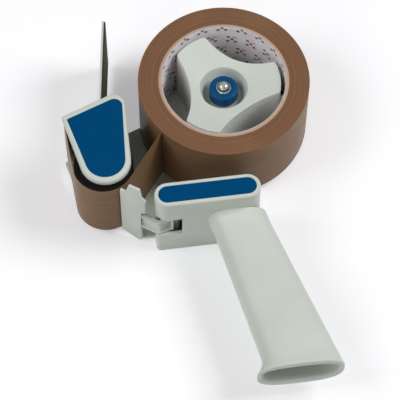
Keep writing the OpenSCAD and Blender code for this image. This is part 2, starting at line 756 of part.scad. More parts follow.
// Plans of the arm's web and of its flanges, which leave a channel that is open in front
module arm_web() {
  root = elbow - (lever_l - arm_root) * lever_dir;
  bar(root, elbow, arm_web_t);
  bar(elbow, lever_c, arm_web_t);
  translate(elbow) circle(d = arm_web_t);
  bar(arm_end, lever_c, arm_rib_t);
  translate(lever_c) circle(d = barrel_d);
}
module arm_flange() {
  arm_web();
  front = lever_front + eps * lever_back;
  root = elbow - (lever_l - arm_root) * lever_dir;
  polygon([front - (lever_l - arm_root) * lever_dir, front, arm_end, lever_c, elbow, root]);
}

module retainer_lever() color(WHITE) difference() {
  union() {
    lever_plane(lever_t) lever_face();
    translate([0, 0, arm_z]) linear_extrude(arm_h) arm_web();
    for (z = [arm_z, arm_z + arm_h - lever_t]) translate([0, 0, z]) linear_extrude(lever_t) arm_flange();
  }
  rod(lever_c, lever_pin_d + 2 * run_c, arm_z - 1, arm_z + arm_h + 1);
}

module retainer_pin() color(STEEL) rod(lever_c, lever_pin_d, plate_t / 2 + pin_c, lever_pin_top);

lever_wire_d = 0.8;
lever_coil = [lever_pin_d / 2 + 0.9, lever_wire_d, 4, 6];
module retainer_spring() color(STEEL) translate(up(lever_c, arm_z + arm_h + 1)) rotate([0, 0, 90])
  coil(lever_coil);

module spindle() color(STEEL) {
  translate([0, 0, head_skin]) cylinder(d = spindle_head_d, h = plate_t - head_skin, $fn = 6);
  translate([0, 0, plate_t - eps]) cylinder(d = spindle_d, h = seat_z - plate_t - 0.5);
  translate([0, 0, plate_t]) cylinder(d = thread_d, h = nut_bore_top - knob_travel - plate_t);
}

module brake_washer() color(FIBRE) translate([0, 0, plate_t]) difference() {
  cylinder(d = brake_d, h = flange_z - plate_t);
  translate([0, 0, -1]) cylinder(d = spindle_d + 2 * run_c, h = plate_gap + 2);
}

// Plan of the three lobes, drawn in by a margin
module lobe_plan(margin) difference() {
  circle(r = lobe_r - margin);
  for (a = [60, 180, 300]) translate(scallop_c * unit(a)) circle(r = scallop_r + margin);
}

// Section of what lies under the dished face, drawn down by a margin
module dish_section(low, drop) {
  polygon([[0, low], [lobe_r + 1, low], [lobe_r + 1, lobe_top - drop + dish_h / (lobe_r - recess_d / 2)],
    [recess_d / 2, dish_z - drop], [recess_floor_d / 2, floor_z - drop], [0, floor_z - drop]]);
}

module hub() color(WHITE) difference() {
  union() {
    translate([0, 0, flange_z]) cylinder(d = flange_d, h = flange_t);
    intersection() {
      translate([0, 0, flange_z]) linear_extrude(tape_w) lobe_plan(0);
      rotate_extrude() dish_section(flange_z, 0);
    }
    for (a = [0, 120, 240], k = [-1, 1]) rotate([0, 0, a + k * 13])
      translate([lobe_r - 1.5, -rib_w / 2, tape_z - eps])
      cube([core_r - 0.15 - lobe_r + 1.5, rib_w, tape_w * 0.72]);
  }
  difference() {
    intersection() {
      translate([0, 0, flange_z + flange_t]) linear_extrude(tape_w) lobe_plan(hub_wall);
      rotate_extrude() dish_section(flange_z, hub_wall);
    }
    translate([0, 0, flange_z]) cylinder(d = tube_d, h = tape_w);
  }
  translate([0, 0, seat_z - collar_t]) cylinder(r = tube_in, h = tape_w);
  translate([0, 0, flange_z - 1]) cylinder(r = bush_r + pin_c, h = tape_w);
}

module hub_bush() color(NYLON) difference() {
  union() {
    translate([0, 0, flange_z]) cylinder(r = bush_r, h = seat_z - flange_z);
    translate([0, 0, seat_z - collar_t]) cylinder(r = tube_in - pin_c, h = collar_t);
  }
  translate([0, 0, flange_z - 1]) cylinder(d = spindle_d + 2 * run_c, h = seat_z);
}

// The spring's wire just clears the spindle's thread
spring_r = (spindle_d / 2 + tube_in) / 2;
brake_coil = [spring_r, spring_wire_d, spring_turns, spring_h - spring_wire_d];
module brake_spring() color(STEEL) translate([0, 0, spring_z + spring_wire_d / 2]) coil(brake_coil);

// Least gaps of the three springs in millimetres
echo(least_coil_gaps = [for (c = [flap_coil, lever_coil, brake_coil]) coil_gap(c)]);

module thrust_washer() color(STEEL) translate([0, 0, knob_z - thrust_t]) difference() {
  cylinder(r = tube_in - pass_c, h = thrust_t);
  translate([0, 0, -1]) cylinder(d = thread_d + 2 * run_c, h = thrust_t + 2);
}

module tension_knob() color(BLUE) translate([0, 0, knob_z]) difference() {
  cylinder(d = knob_d, h = knob_h);
  translate([0, 0, -1]) cylinder(d = thread_d + 2 * run_c, h = knob_h + 2);
  translate([0, 0, knob_h - nut_seat]) cylinder(d = nut_d + 2 * pin_c, h = nut_seat + 1);
}

module dome_nut() color(CHROME) difference() {
  translate([0, 0, knob_top]) rotate_extrude() intersection() {
    translate([0, -nut_seat]) square([nut_d / 2, nut_seat + nut_dome_h]);
    union() {
      translate([0, -nut_seat]) square([nut_d / 2, nut_seat + 0.4]);
      translate([0, nut_dome_h - dome_r]) circle(r = dome_r);
    }
  }
  translate([0, 0, knob_top - nut_seat - 1])
    cylinder(d = thread_d + 2 * run_c, h = nut_bore_top - knob_top + nut_seat + 1);
}
// Ball that gives the dome its height over its rim
dome_r = (pow(nut_d / 2, 2) + pow(nut_dome_h - 0.4, 2)) / (2 * (nut_dome_h - 0.4));

module tape_core() color(CARD) translate([0, 0, tape_z]) difference() {
  cylinder(r = core_r + core_wall, h = tape_w);
  translate([0, 0, -1]) cylinder(r = core_r, h = tape_w + 2);
}

module tape_roll() color(TAPE) translate([0, 0, tape_z]) difference() {
  cylinder(r = roll_r, h = tape_w);
  translate([0, 0, -1]) cylinder(r = core_r + core_wall + pin_c, h = tape_w + 2);
}

// The tape's way: off the roll, straight to the roller, round it and on to the blade
peel_r = roll_r + pass_c + web_t / 2;
peel_p = peel_r * unit(peel_a);
web_mid_r = web_in_r + web_t / 2;
on_a = dir_of(roller_c, peel_p) - acos(web_mid_r / norm(peel_p - roller_c));
web_end = corner[0] + [-pass_c, 3.2];
off_a = dir_of(roller_c, web_end) + acos(web_mid_r / norm(web_end - roller_c)) - 360;
lead_a = on_a - 90;
wrap_steps = 48;

// The strip's middle line as [place, direction of its left side], with a mitred bend at the roll
bend = (unit(lead_a + 90) - unit(peel_a)) / (1 - unit(lead_a + 90) * unit(peel_a));
web_path = concat(
  [for (a = [peel_a - 14:3.5:peel_a - 3.5]) [peel_r * unit(a), -unit(a)]],
  [[peel_p, bend]],
  [for (k = [0:wrap_steps]) let (a = on_a + (off_a - on_a) * k / wrap_steps)
    [roller_c + web_mid_r * unit(a), unit(a)]],
  [[web_end, unit(off_a)]]);

module tape_web() color(TAPE) translate([0, 0, tape_z]) linear_extrude(tape_w)
  polygon(concat([for (w = web_path) w[0] + web_t / 2 * w[1]],
    [for (i = [len(web_path) - 1:-1:0]) web_path[i][0] - web_t / 2 * web_path[i][1]]));

back_plate();
housing();
housing_inlay();
handle();
handle_screws();
front_cover();
cover_inlay();
cover_screws();
axle_screw();
bridge();
cutter_blade();
blade_screws();
plate_screws();
roller_axle();
roller_core();
roller_bushes();
roller_sleeve();
flap_carrier();
wiper_pad();
flap_pin();
flap_spring();
retainer_lever();
retainer_pin();
retainer_spring();
spindle();
brake_washer();
hub();
hub_bush();
brake_spring();
thrust_washer();
tension_knob();
dome_nut();
tape_core();
tape_roll();
tape_web();
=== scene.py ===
"""Looks of the hand-held packing tape dispenser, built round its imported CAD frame.

Every length in the classes is in millimetres in the frame of the part; meshes are written in metres.
"""

import logging
import math
from dataclasses import dataclass
from enum import Enum
from typing import Callable, Sequence

import bmesh
import bpy
from mathutils import Matrix, Vector
from mathutils.kdtree import KDTree


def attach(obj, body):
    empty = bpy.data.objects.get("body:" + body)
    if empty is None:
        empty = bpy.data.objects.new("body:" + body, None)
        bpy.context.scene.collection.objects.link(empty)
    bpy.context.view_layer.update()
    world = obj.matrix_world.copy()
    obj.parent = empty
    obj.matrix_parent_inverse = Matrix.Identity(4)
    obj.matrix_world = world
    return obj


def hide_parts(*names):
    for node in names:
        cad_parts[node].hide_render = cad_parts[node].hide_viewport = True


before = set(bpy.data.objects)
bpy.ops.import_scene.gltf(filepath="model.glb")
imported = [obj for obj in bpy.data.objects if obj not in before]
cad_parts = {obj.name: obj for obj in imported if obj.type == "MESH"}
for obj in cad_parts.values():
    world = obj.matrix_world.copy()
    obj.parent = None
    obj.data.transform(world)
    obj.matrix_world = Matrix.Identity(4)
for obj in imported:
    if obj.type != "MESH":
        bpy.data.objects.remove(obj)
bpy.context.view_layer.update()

MM = 0.001
FLAT_ANGLE = 0.6  # degrees: facets of a CAD copy that lie flatter than this are joined
FACE_DEPTH = 1e-5  # metres: how far below its highest point a screw head's face is looked for
LOG = logging.getLogger("dispenser")
Pair = tuple[float, float]
Plan = list[Pair]
Triple = tuple[float, float, float]
Ring = list[Triple]
Color = tuple[float, float, float, float]
Socket = bpy.types.NodeSocket


class Body(Enum):
    """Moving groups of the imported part."""

    FRAME = "frame"
    ROLL = "roll"
    ROLLER = "roller"
    KNOB = "knob"
    LEVER = "lever"
    FLAP = "flap"


class Slot(Enum):
    """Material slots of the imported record."""

    WHITE = "white_plastic"
    BLUE = "blue_plastic"
    STEEL = "steel"
    CHROME = "chrome"
    RUBBER = "rubber"
    CARD = "card"
    TAPE = "brown_tape"


# Plan geometry


def unit(angle: float) -> Vector:
    """Direction in plan at an angle in degrees."""
    return Vector((math.cos(math.radians(angle)), math.sin(math.radians(angle))))


def dir_of(start: Vector, end: Vector) -> float:
    """Angle in degrees of the way from one place in plan to another."""
    return math.degrees(math.atan2(end[1] - start[1], end[0] - start[0]))


def lerp(a: float, b: float, t: float) -> float:
    """Value between a and b."""
    return a + (b - a) * t


@dataclass(frozen=True)
class Disc:
    """Circle in plan."""

    centre: Vector
    radius: float

    def touch(self, other: "Disc") -> float:
        """Angle of the normal of the line that touches both circles on the right of the way to other."""
        gap = (other.centre - self.centre).length
        return dir_of(self.centre, other.centre) - math.degrees(math.acos((self.radius - other.radius) / gap))


def band(discs: Sequence[Disc], margin: float = 0.0, arc: int = 20, side: int = 4) -> Plan:
    """Outline of a tight band round circles.

    Args:
        discs: the circles, anticlockwise.
        margin: how far the outline is drawn in.
        arc: points on each circle's arc.
        side: pieces that each straight side has.
    Returns:
        Points of the outline, anticlockwise.
    """
    inner = [Disc(d.centre, d.radius - margin) for d in discs]
    plan: Plan = []
    for i, disc in enumerate(inner):
        before, after = inner[i - 1], inner[(i + 1) % len(inner)]
        start, end = before.touch(disc), disc.touch(after)
        while end < start:
            end += 360
        while end - start > 360:
            end -= 360
        for k in range(arc + 1):
            place = disc.centre + disc.radius * unit(lerp(start, end, k / arc))
            plan.append((place.x, place.y))
        leave = disc.centre + disc.radius * unit(end)
        arrive = after.centre + after.radius * unit(disc.touch(after))
        for k in range(1, side):
            place = leave.lerp(arrive, k / side)
            plan.append((place.x, place.y))
    return plan


def circle(radius: float, count: int, centre: Sequence[float] = (0.0, 0.0)) -> Plan:
    """Points of a circle in plan.

    Args:
        radius: its radius.
        count: number of points.
        centre: its middle.
    Returns:
        The points, anticlockwise from the +X side.
    """
    plan: Plan = []
    for k in range(count):
        a = 2 * math.pi * k / count
        plan.append((centre[0] + radius * math.cos(a), centre[1] + radius * math.sin(a)))
    return plan


def quarter(steps: int, first: int = 0) -> list[float]:
    """Angles in radians that split a right angle into equal steps."""
    return [math.radians(90 * k / steps) for k in range(first, steps + 1)]


def at(plan: Plan, z: float) -> Ring:
    """The outline at a level."""
    return [(x, y, z) for x, y in plan]


def between(a: Plan, b: Plan, t: float) -> Plan:
    """Outline part of the way from one outline to another."""
    return [(lerp(p[0], q[0], t), lerp(p[1], q[1], t)) for p, q in zip(a, b)]


# Modelling


def deselect() -> None:
    """Leaves edit mode and selects nothing."""
    if bpy.context.object and bpy.context.object.mode != "OBJECT":
        bpy.ops.object.mode_set(mode="OBJECT")
    bpy.ops.object.select_all(action="DESELECT")


def activate(obj: bpy.types.Object) -> None:
    """Selects one object alone.

    Args:
        obj: the object, which becomes the active one.
    """
    deselect()
    obj.select_set(True)
    bpy.context.view_layer.objects.active = obj


def loft(name: str, rings: Sequence[Ring], closed: bool = False) -> bpy.types.Object:
    """Solid that runs from ring to ring, each extruded from the one before.

    Args:
        name: the piece's name.
        rings: rings with the same number of points.
        closed: the last ring joins the first, so there are no caps.
    Returns:
        The new object, with its normals outward.
    """
    deselect()
    bpy.ops.mesh.primitive_circle_add(
        vertices=len(rings[0]), radius=1.0, fill_type="NOTHING" if closed else "NGON", location=(0, 0, 0)
    )
    obj = bpy.context.active_object
    obj.name = obj.data.name = name
    for vertex, place in zip(obj.data.vertices, rings[0]):
        vertex.co = Vector(place) * MM
    bpy.ops.object.mode_set(mode="EDIT")
    bpy.ops.mesh.select_all(action="SELECT")
    loops = list(rings) + ([rings[0]] if closed else [])
    for before, after in zip(loops, loops[1:]):
        tree = KDTree(len(before))
        for k, place in enumerate(before):
            tree.insert(Vector(place) * MM, k)
        tree.balance()
        bpy.ops.mesh.extrude_region_move()
        mesh = bmesh.from_edit_mesh(obj.data)
        for vertex in mesh.verts:
            if vertex.select:
                vertex.co = Vector(after[tree.find(vertex.co)[1]]) * MM
        bmesh.update_edit_mesh(obj.data)
    bpy.ops.mesh.select_all(action="SELECT")
    if closed:
        bpy.ops.mesh.remove_doubles(threshold=1e-7)
    bpy.ops.mesh.normals_make_consistent(inside=False)
    bpy.ops.object.mode_set(mode="OBJECT")
    return obj


def turned(
    name: str, profile: Plan, count: int = 96, centre: Sequence[float] = (0.0, 0.0), closed: bool = False
) -> bpy.types.Object:
    """Round solid from a profile of (radius, level) points, about an upright axis."""
    return loft(name, [at(circle(radius, count, centre), z) for radius, z in profile], closed)


def block(name: str, low: Sequence[float], high: Sequence[float]) -> bpy.types.Object:
    """Box between two corners.

    Args:
        name: the piece's name.
        low: its lowest corner.
        high: its highest corner.
    Returns:
        The new object.
    """
    deselect()
    bpy.ops.mesh.primitive_cube_add(size=1.0, location=(0, 0, 0))
    obj = bpy.context.active_object
    obj.name = obj.data.name = name
    for vertex in obj.data.vertices:
        vertex.co = Vector([lerp(low[i], high[i], vertex.co[i] + 0.5) * MM for i in range(3)])
    return obj


def apply_modifier(obj: bpy.types.Object, kind: str, **settings: object) -> None:
    """Adds a modifier, sets it and applies it.

    Args:
        obj: the piece.
        kind: the modifier's type.
        settings: values for its fields.
    """
    activate(obj)
    bpy.ops.object.modifier_add(type=kind)
    modifier = obj.modifiers[-1]
    for key, value in settings.items():
        setattr(modifier, key, value)
    bpy.ops.object.modifier_apply(modifier=modifier.name)


def combine(obj: bpy.types.Object, other: bpy.types.Object, operation: str = "DIFFERENCE") -> None:
    """Cuts other from obj, or joins it, and deletes other."""
    apply_modifier(obj, "BOOLEAN", object=other, operation=operation, solver="EXACT")
    bpy.data.objects.remove(other, do_unlink=True)


def round_edges(obj: bpy.types.Object, width: float, segments: int = 3, angle: float = 40.0) -> None:
    """Rounds the sharp edges of a piece.

    Args:
        obj: the piece.
        width: width of the rounding.
        segments: its number of steps.
        angle: edges sharper than this are rounded.
    """
    apply_modifier(
        obj, "BEVEL", width=width * MM, segments=segments, limit_method="ANGLE",
        angle_limit=math.radians(angle), use_clamp_overlap=True, miter_outer="MITER_ARC",
    )


def merge(pieces: Sequence[bpy.types.Object]) -> bpy.types.Object:
    """Joins several meshes into the first of them.

    Args:
        pieces: the objects; all but the first are used up.
    Returns:
        The first object.
    """
    deselect()
    for piece in pieces:
        piece.select_set(True)
    bpy.context.view_layer.objects.active = pieces[0]
    bpy.ops.object.join()
    return pieces[0]


def softened(name: str, node: str, width: float) -> bpy.types.Object:
    """Copy of a CAD node with its edges rounded.

    Args:
        name: the new piece's name.
        node: the CAD node.
        width: width of the rounding.
    Returns:
        The new object, without materials.
    """
    deselect()
    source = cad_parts[node]
    obj = bpy.data.objects.new(name, source.data.copy())
    obj.data.name = name
    bpy.context.scene.collection.objects.link(obj)
    obj.data.materials.clear()
    activate(obj)
    bpy.ops.object.mode_set(mode="EDIT")
    bpy.ops.mesh.select_all(action="SELECT")
    bpy.ops.mesh.remove_doubles(threshold=2e-6)
    bpy.ops.mesh.dissolve_limited(angle_limit=math.radians(FLAT_ANGLE))
    bpy.ops.object.mode_set(mode="OBJECT")
    round_edges(obj, width, 2)
    return obj


def dress(
    obj: bpy.types.Object, finish: bpy.types.Material, body: Body, slot: Slot, *nodes: str,
    angle: float = 35.0,
) -> bpy.types.Object:
    """Shades a finished piece, gives it its material and hangs it on its body.

    Args:
        obj: the finished piece, with its place in its mesh.
        finish: its material, where it has none yet.
        body: the body that it rides on.
        slot: the record's material slot; not used.
        nodes: the CAD nodes that it stands for.
        angle: edges sharper than this stay sharp in shading.
    Returns:
        The same object.
    """
    activate(obj)
    bpy.ops.object.shade_smooth_by_angle(angle=math.radians(angle))
    if not obj.data.materials:
        obj.data.materials.append(finish)
    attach(obj, body.value)
    if nodes:
        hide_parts(*nodes)
    LOG.info("%s: %d faces, rides on %s", obj.name, len(obj.data.polygons), body.value)
    return obj


# Finishes


def linear(value: int) -> float:
    """Linear light of one 0-255 display value."""
    c = value / 255
    return c / 12.92 if c <= 0.04045 else ((c + 0.055) / 1.055) ** 2.4


def srgb(red: int, green: int, blue: int) -> Color:
    """Linear colour from 0-255 display values."""
    return (linear(red), linear(green), linear(blue), 1.0)


class Graph:
    """Node tree of one material, with short calls to add and join nodes."""

    def __init__(self, name: str) -> None:
        """Starts a material with a Principled shader on its output.

        Args:
            name: the material's name.
        """
        self.material = bpy.data.materials.new(name)
        self.material.use_nodes = True
        self.tree = self.material.node_tree
        self.tree.nodes.clear()
        self.out = self.tree.nodes.new("ShaderNodeOutputMaterial")
        self.shader = self.tree.nodes.new("ShaderNodeBsdfPrincipled")
        self.tree.links.new(self.shader.outputs[0], self.out.inputs["Surface"])
        self.coords = self.tree.nodes.new("ShaderNodeTexCoord").outputs["Object"]

    def put(self, socket: Socket, value: object) -> None:
        """Links a socket to an input, or sets the input to a plain value.

        Args:
            socket: the input.
            value: another node's output, or the value.
        """
        if isinstance(value, Socket):
            self.tree.links.new(value, socket)
        else:
            socket.default_value = value

    def add(
        self, kind: str, inputs: dict[str | int, object] | None = None, **fields: object
    ) -> bpy.types.Node:
        """Adds a node.

        Args:
            kind: the node's type, without its prefix.
            inputs: what each input is linked or set to.
            fields: values of the node's own fields.
        Returns:
            The node.
        """
        node = self.tree.nodes.new("ShaderNode" + kind)
        for key, value in fields.items():
            setattr(node, key, value)
        for key, value in (inputs or {}).items():
            self.put(node.inputs[key], value)
        return node

    def math(self, operation: str, a: object, b: object = 0.0) -> Socket:
        """Result of one Math node."""
        return self.add("Math", {0: a, 1: b}, operation=operation).outputs[0]

    def noise(self, scale: float, detail: float, vector: Socket | None = None, rough: float = 0.5) -> Socket:
        """Noise factor on the piece's own coordinates, or on another vector."""
        inputs = {"Vector": vector or self.coords, "Scale": scale, "Detail": detail, "Roughness": rough}
        return self.add("TexNoise", inputs).outputs["Fac"]

    def radius(self) -> Socket:
        """Distance from the piece's Z axis."""
        flat = self.add("VectorMath", {0: self.coords, 1: (1.0, 1.0, 0.0)}, operation="MULTIPLY").outputs[0]
        return self.add("VectorMath", {0: flat}, operation="LENGTH").outputs["Value"]

    def rings(self, radius: Socket, scale: float, detail: float) -> Socket:
        """Noise factor that changes with the radius alone."""
        inputs = {"W": radius, "Scale": scale, "Detail": detail}
        return self.add("TexNoise", inputs, noise_dimensions="1D").outputs["Fac"]

    def ramp(self, factor: Socket, low: float, high: float, a: float = 0.0, b: float = 1.0) -> Socket:
        """Factor stretched from low..high to a..b."""
        inputs = {"Value": factor, "From Min": low, "From Max": high, "To Min": a, "To Max": b}
        return self.add("MapRange", inputs).outputs["Result"]

    def stretched(self, scale: Triple, rotation: Triple = (0.0, 0.0, 0.0)) -> Socket:
        """The piece's own coordinates, scaled and turned."""
        inputs = {"Vector": self.coords, "Scale": scale, "Rotation": rotation}
        return self.add("Mapping", inputs).outputs[0]

    def mix(self, factor: object, a: object, b: object) -> Socket:
        """Colour between two colours.

        Args:
            factor: share of the second colour.
            a: the first colour.
            b: the second colour.
        Returns:
            The colour's socket.
        """
        node = self.add("Mix", data_type="RGBA")
        for index, value in ((0, factor), (6, a), (7, b)):
            self.put(node.inputs[index], value)
        return node.outputs[2]

    def bump(self, height: Socket, strength: float, distance: float, under: Socket | None = None) -> Socket:
        """Bump of a height.

        Args:
            height: the height's socket.
            strength: share of the bump that shows.
            distance: height of the bump.
            under: another bump that this one lies on.
        Returns:
            The normal's socket.
        """
        inputs: dict[str | int, object] = {"Height": height, "Strength": strength, "Distance": distance * MM}
        if under is not None:
            inputs["Normal"] = under
        return self.add("Bump", inputs).outputs["Normal"]

    def set(self, **inputs: object) -> None:
        """Sets or links inputs of the Principled shader; an underscore stands for a space."""
        for key, value in inputs.items():
            self.put(self.shader.inputs[key.replace("_", " ")], value)


@dataclass(frozen=True)
class MouldedPlastic:
    """Injection-moulded plastic with a fine grain, faint flow marks and scuffs."""

    name: str
    color: Color
    scuffed: Color
    roughness: float
    grain: float
    specular: float

    def material(self) -> bpy.types.Material:
        """Builds the node tree.

        Returns:
            The material.
        """
        g = Graph(self.name)
        clouds = g.noise(38, 4)
        slanted = g.stretched((1.0, 0.25, 1.6), (0.2, 0.3, 0.5))
        scratches = g.ramp(g.noise(520, 2, slanted, 0.4), 0.70, 0.76)
        wear = g.math("MULTIPLY", scratches, g.ramp(g.noise(22, 3), 0.46, 0.62))
        tint = g.mix(g.ramp(clouds, 0.3, 0.7, 0.0, 0.35), self.color, self.scuffed)
        g.set(Base_Color=g.mix(g.math("MULTIPLY", wear, 0.30), tint, self.scuffed))
        g.set(Roughness=g.ramp(g.noise(160, 3), 0.3, 0.7, self.roughness - 0.05, self.roughness + 0.06))
        g.set(Specular_IOR_Level=self.specular)
        fine = g.bump(g.noise(2600, 2), self.grain, 0.03)
        g.set(Normal=g.bump(g.noise(120, 2), 0.10, 0.15, fine))
        return g.material


@dataclass(frozen=True)
class FilmFace:
    """Outer face of brown polypropylene tape: glossy film with long streaks over the adhesive."""

    name: str
    color: Color
    dark: Color

    def material(self) -> bpy.types.Material:
        """Builds the node tree.

        Returns:
            The material.
        """
        g = Graph(self.name)
        along = g.stretched((1.0, 1.0, 34.0))
        streaks = g.noise(14, 4, along, 0.45)
        bubbles = g.ramp(g.noise(420, 2, None, 0.35), 0.66, 0.74)
        base = g.mix(g.ramp(streaks, 0.34, 0.66), self.dark, self.color)
        g.set(Base_Color=g.mix(g.math("MULTIPLY", bubbles, 0.35), base, self.dark))
        g.set(Roughness=g.ramp(g.noise(70, 3), 0.3, 0.7, 0.34, 0.46))
        g.set(Specular_IOR_Level=0.12)
        lines = g.bump(g.noise(60, 3, along), 0.10, 0.05)
        g.set(Normal=g.bump(g.noise(48, 2), 0.14, 0.22, lines))
        return g.material


@dataclass(frozen=True)
class WoundEdge:
    """Edge of the wound tape: fine rings, one for each few layers."""

    name: str
    color: Color
    dark: Color
    light: Color

    def material(self) -> bpy.types.Material:
        """Builds the node tree.

        Returns:
            The material.
        """
        g = Graph(self.name)
        radius = g.radius()
        fine, broad = g.rings(radius, 5200.0, 3.0), g.rings(radius, 620.0, 2.0)
        rings = g.math("ADD", g.math("MULTIPLY", fine, 0.6), g.math("MULTIPLY", broad, 0.4))
        base = g.mix(g.ramp(rings, 0.36, 0.66), self.dark, self.color)
        g.set(Base_Color=g.mix(g.ramp(g.noise(30, 3), 0.45, 0.75, 0.0, 0.35), base, self.light))
        g.set(Roughness=g.ramp(g.noise(70, 2), 0.3, 0.7, 0.46, 0.60))
        g.set(Specular_IOR_Level=0.15)
        g.set(Normal=g.bump(fine, 0.35, 0.05))
        return g.material


@dataclass(frozen=True)
class Card:
    """Spiral-wound card with paper fibres."""

    name: str
    color: Color
    fibre: Color

    def material(self) -> bpy.types.Material:
        """Builds the node tree.

        Returns:
            The material.
        """
        g = Graph(self.name)
        plies = g.rings(g.radius(), 1700.0, 1.0)
        speck = g.ramp(g.noise(1500, 4, None, 0.7), 0.42, 0.62)
        base = g.mix(g.ramp(plies, 0.40, 0.60, 0.0, 0.55), self.color, self.fibre)
        g.set(Base_Color=g.mix(g.math("MULTIPLY", speck, 0.25), base, self.fibre))
        g.set(Roughness=g.ramp(g.noise(300, 2), 0.3, 0.7, 0.78, 0.92))
        g.set(Normal=g.bump(g.noise(2200, 3), 0.30, 0.06))
        return g.material


@dataclass(frozen=True)
class PrintedLiner:
    """Pale paper liner inside the core, printed with small generic marks."""

    name: str
    paper: Color
    ink: Color
    accent: Color
    faded: Color
    pitch: float
    radius: float
    step_size: Pair = (0.08, 0.08)
    step_places: tuple[Pair, ...] = ((0.24, 0.28), (0.42, 0.46), (0.60, 0.64), (0.62, 0.28))
    bar_size: Pair = (0.12, 0.065)
    bar_place: Pair = (0.28, 0.66)

    def mark(self, g: Graph, place: tuple[Socket, Socket], middle: Pair, size: Pair) -> Socket:
        """Factor of one small rectangle in each cell.

        Args:
            g: the material's graph.
            place: sockets of the place in a cell.
            middle: the rectangle's middle, in cells.
            size: half its size, in cells.
        Returns:
            The factor's socket.
        """
        across = g.math("ABSOLUTE", g.math("SUBTRACT", place[0], middle[0]))
        along = g.math("ABSOLUTE", g.math("SUBTRACT", place[1], middle[1]))
        return g.math("MULTIPLY", g.math("LESS_THAN", across, size[0]), g.math("LESS_THAN", along, size[1]))

    def material(self) -> bpy.types.Material:
        """Builds the node tree: steps in dark ink and a bar in the accent, in staggered rows.

        Returns:
            The material.
        """
        g = Graph(self.name)
        split = g.add("SeparateXYZ", {0: g.coords})
        turn = g.math("ARCTAN2", split.outputs["Y"], split.outputs["X"])
        count = round(2 * math.pi * self.radius / self.pitch)
        row = g.math("MULTIPLY", split.outputs["Z"], 1 / (self.pitch * MM))
        stagger = g.math("MULTIPLY", g.math("MODULO", g.math("FLOOR", row), 2.0), 0.5)
        column = g.math("ADD", g.math("MULTIPLY", turn, count / (2 * math.pi)), stagger)
        place = (g.math("FRACT", column), g.math("FRACT", row))
        dark = None
        for middle in self.step_places:
            step = self.mark(g, place, middle, self.step_size)
            dark = step if dark is None else g.math("MAXIMUM", dark, step)
        bar = self.mark(g, place, self.bar_place, self.bar_size)
        worn = g.ramp(g.noise(900, 3), 0.40, 0.60, 0.72, 1.0)
        paper = g.mix(g.ramp(g.noise(140, 4), 0.35, 0.65, 0.0, 0.25), self.paper, self.faded)
        marked = g.mix(g.math("MULTIPLY", dark, worn), paper, self.ink)
        g.set(Base_Color=g.mix(g.math("MULTIPLY", bar, g.math("MULTIPLY", worn, 0.85)), marked, self.accent))
        g.set(Roughness=g.ramp(g.noise(300, 2), 0.3, 0.7, 0.58, 0.72))
        g.set(Normal=g.bump(g.noise(1800, 2), 0.15, 0.04))
        return g.material


@dataclass(frozen=True)
class BareMetal:
    """Plated or polished metal with fine brushing."""

    name: str
    color: Color
    roughness: float
    brushing: float

    def material(self) -> bpy.types.Material:
        """Builds the node tree.

        Returns:
            The material.
        """
        g = Graph(self.name)
        g.set(Metallic=1.0)
        along = g.stretched((1.0, 1.0, 0.08))
        shade = tuple(c * 0.82 for c in self.color[:3]) + (1.0,)
        g.set(Base_Color=g.mix(g.ramp(g.noise(420, 3), 0.35, 0.65), shade, self.color))
        g.set(Roughness=g.ramp(g.noise(700, 2, along), 0.3, 0.7, self.roughness * 0.8, self.roughness * 1.3))
        g.set(Normal=g.bump(g.noise(3800, 2, along), self.brushing, 0.02))
        return g.material


@dataclass(frozen=True)
class MattRubber:
    """Matt rubber or dense foam with dust in its pores."""

    name: str
    color: Color
    dust: Color

    def material(self) -> bpy.types.Material:
        """Builds the node tree.

        Returns:
            The material.
        """
        g = Graph(self.name)
        pores = g.ramp(g.noise(260, 5, None, 0.65), 0.45, 0.75, 0.0, 0.4)
        g.set(Base_Color=g.mix(pores, self.color, self.dust))
        g.set(Roughness=g.ramp(g.noise(500, 2), 0.3, 0.7, 0.62, 0.82))
        g.set(Specular_IOR_Level=0.10)
        g.set(Normal=g.bump(g.noise(2400, 3), 0.35, 0.05))
        return g.material


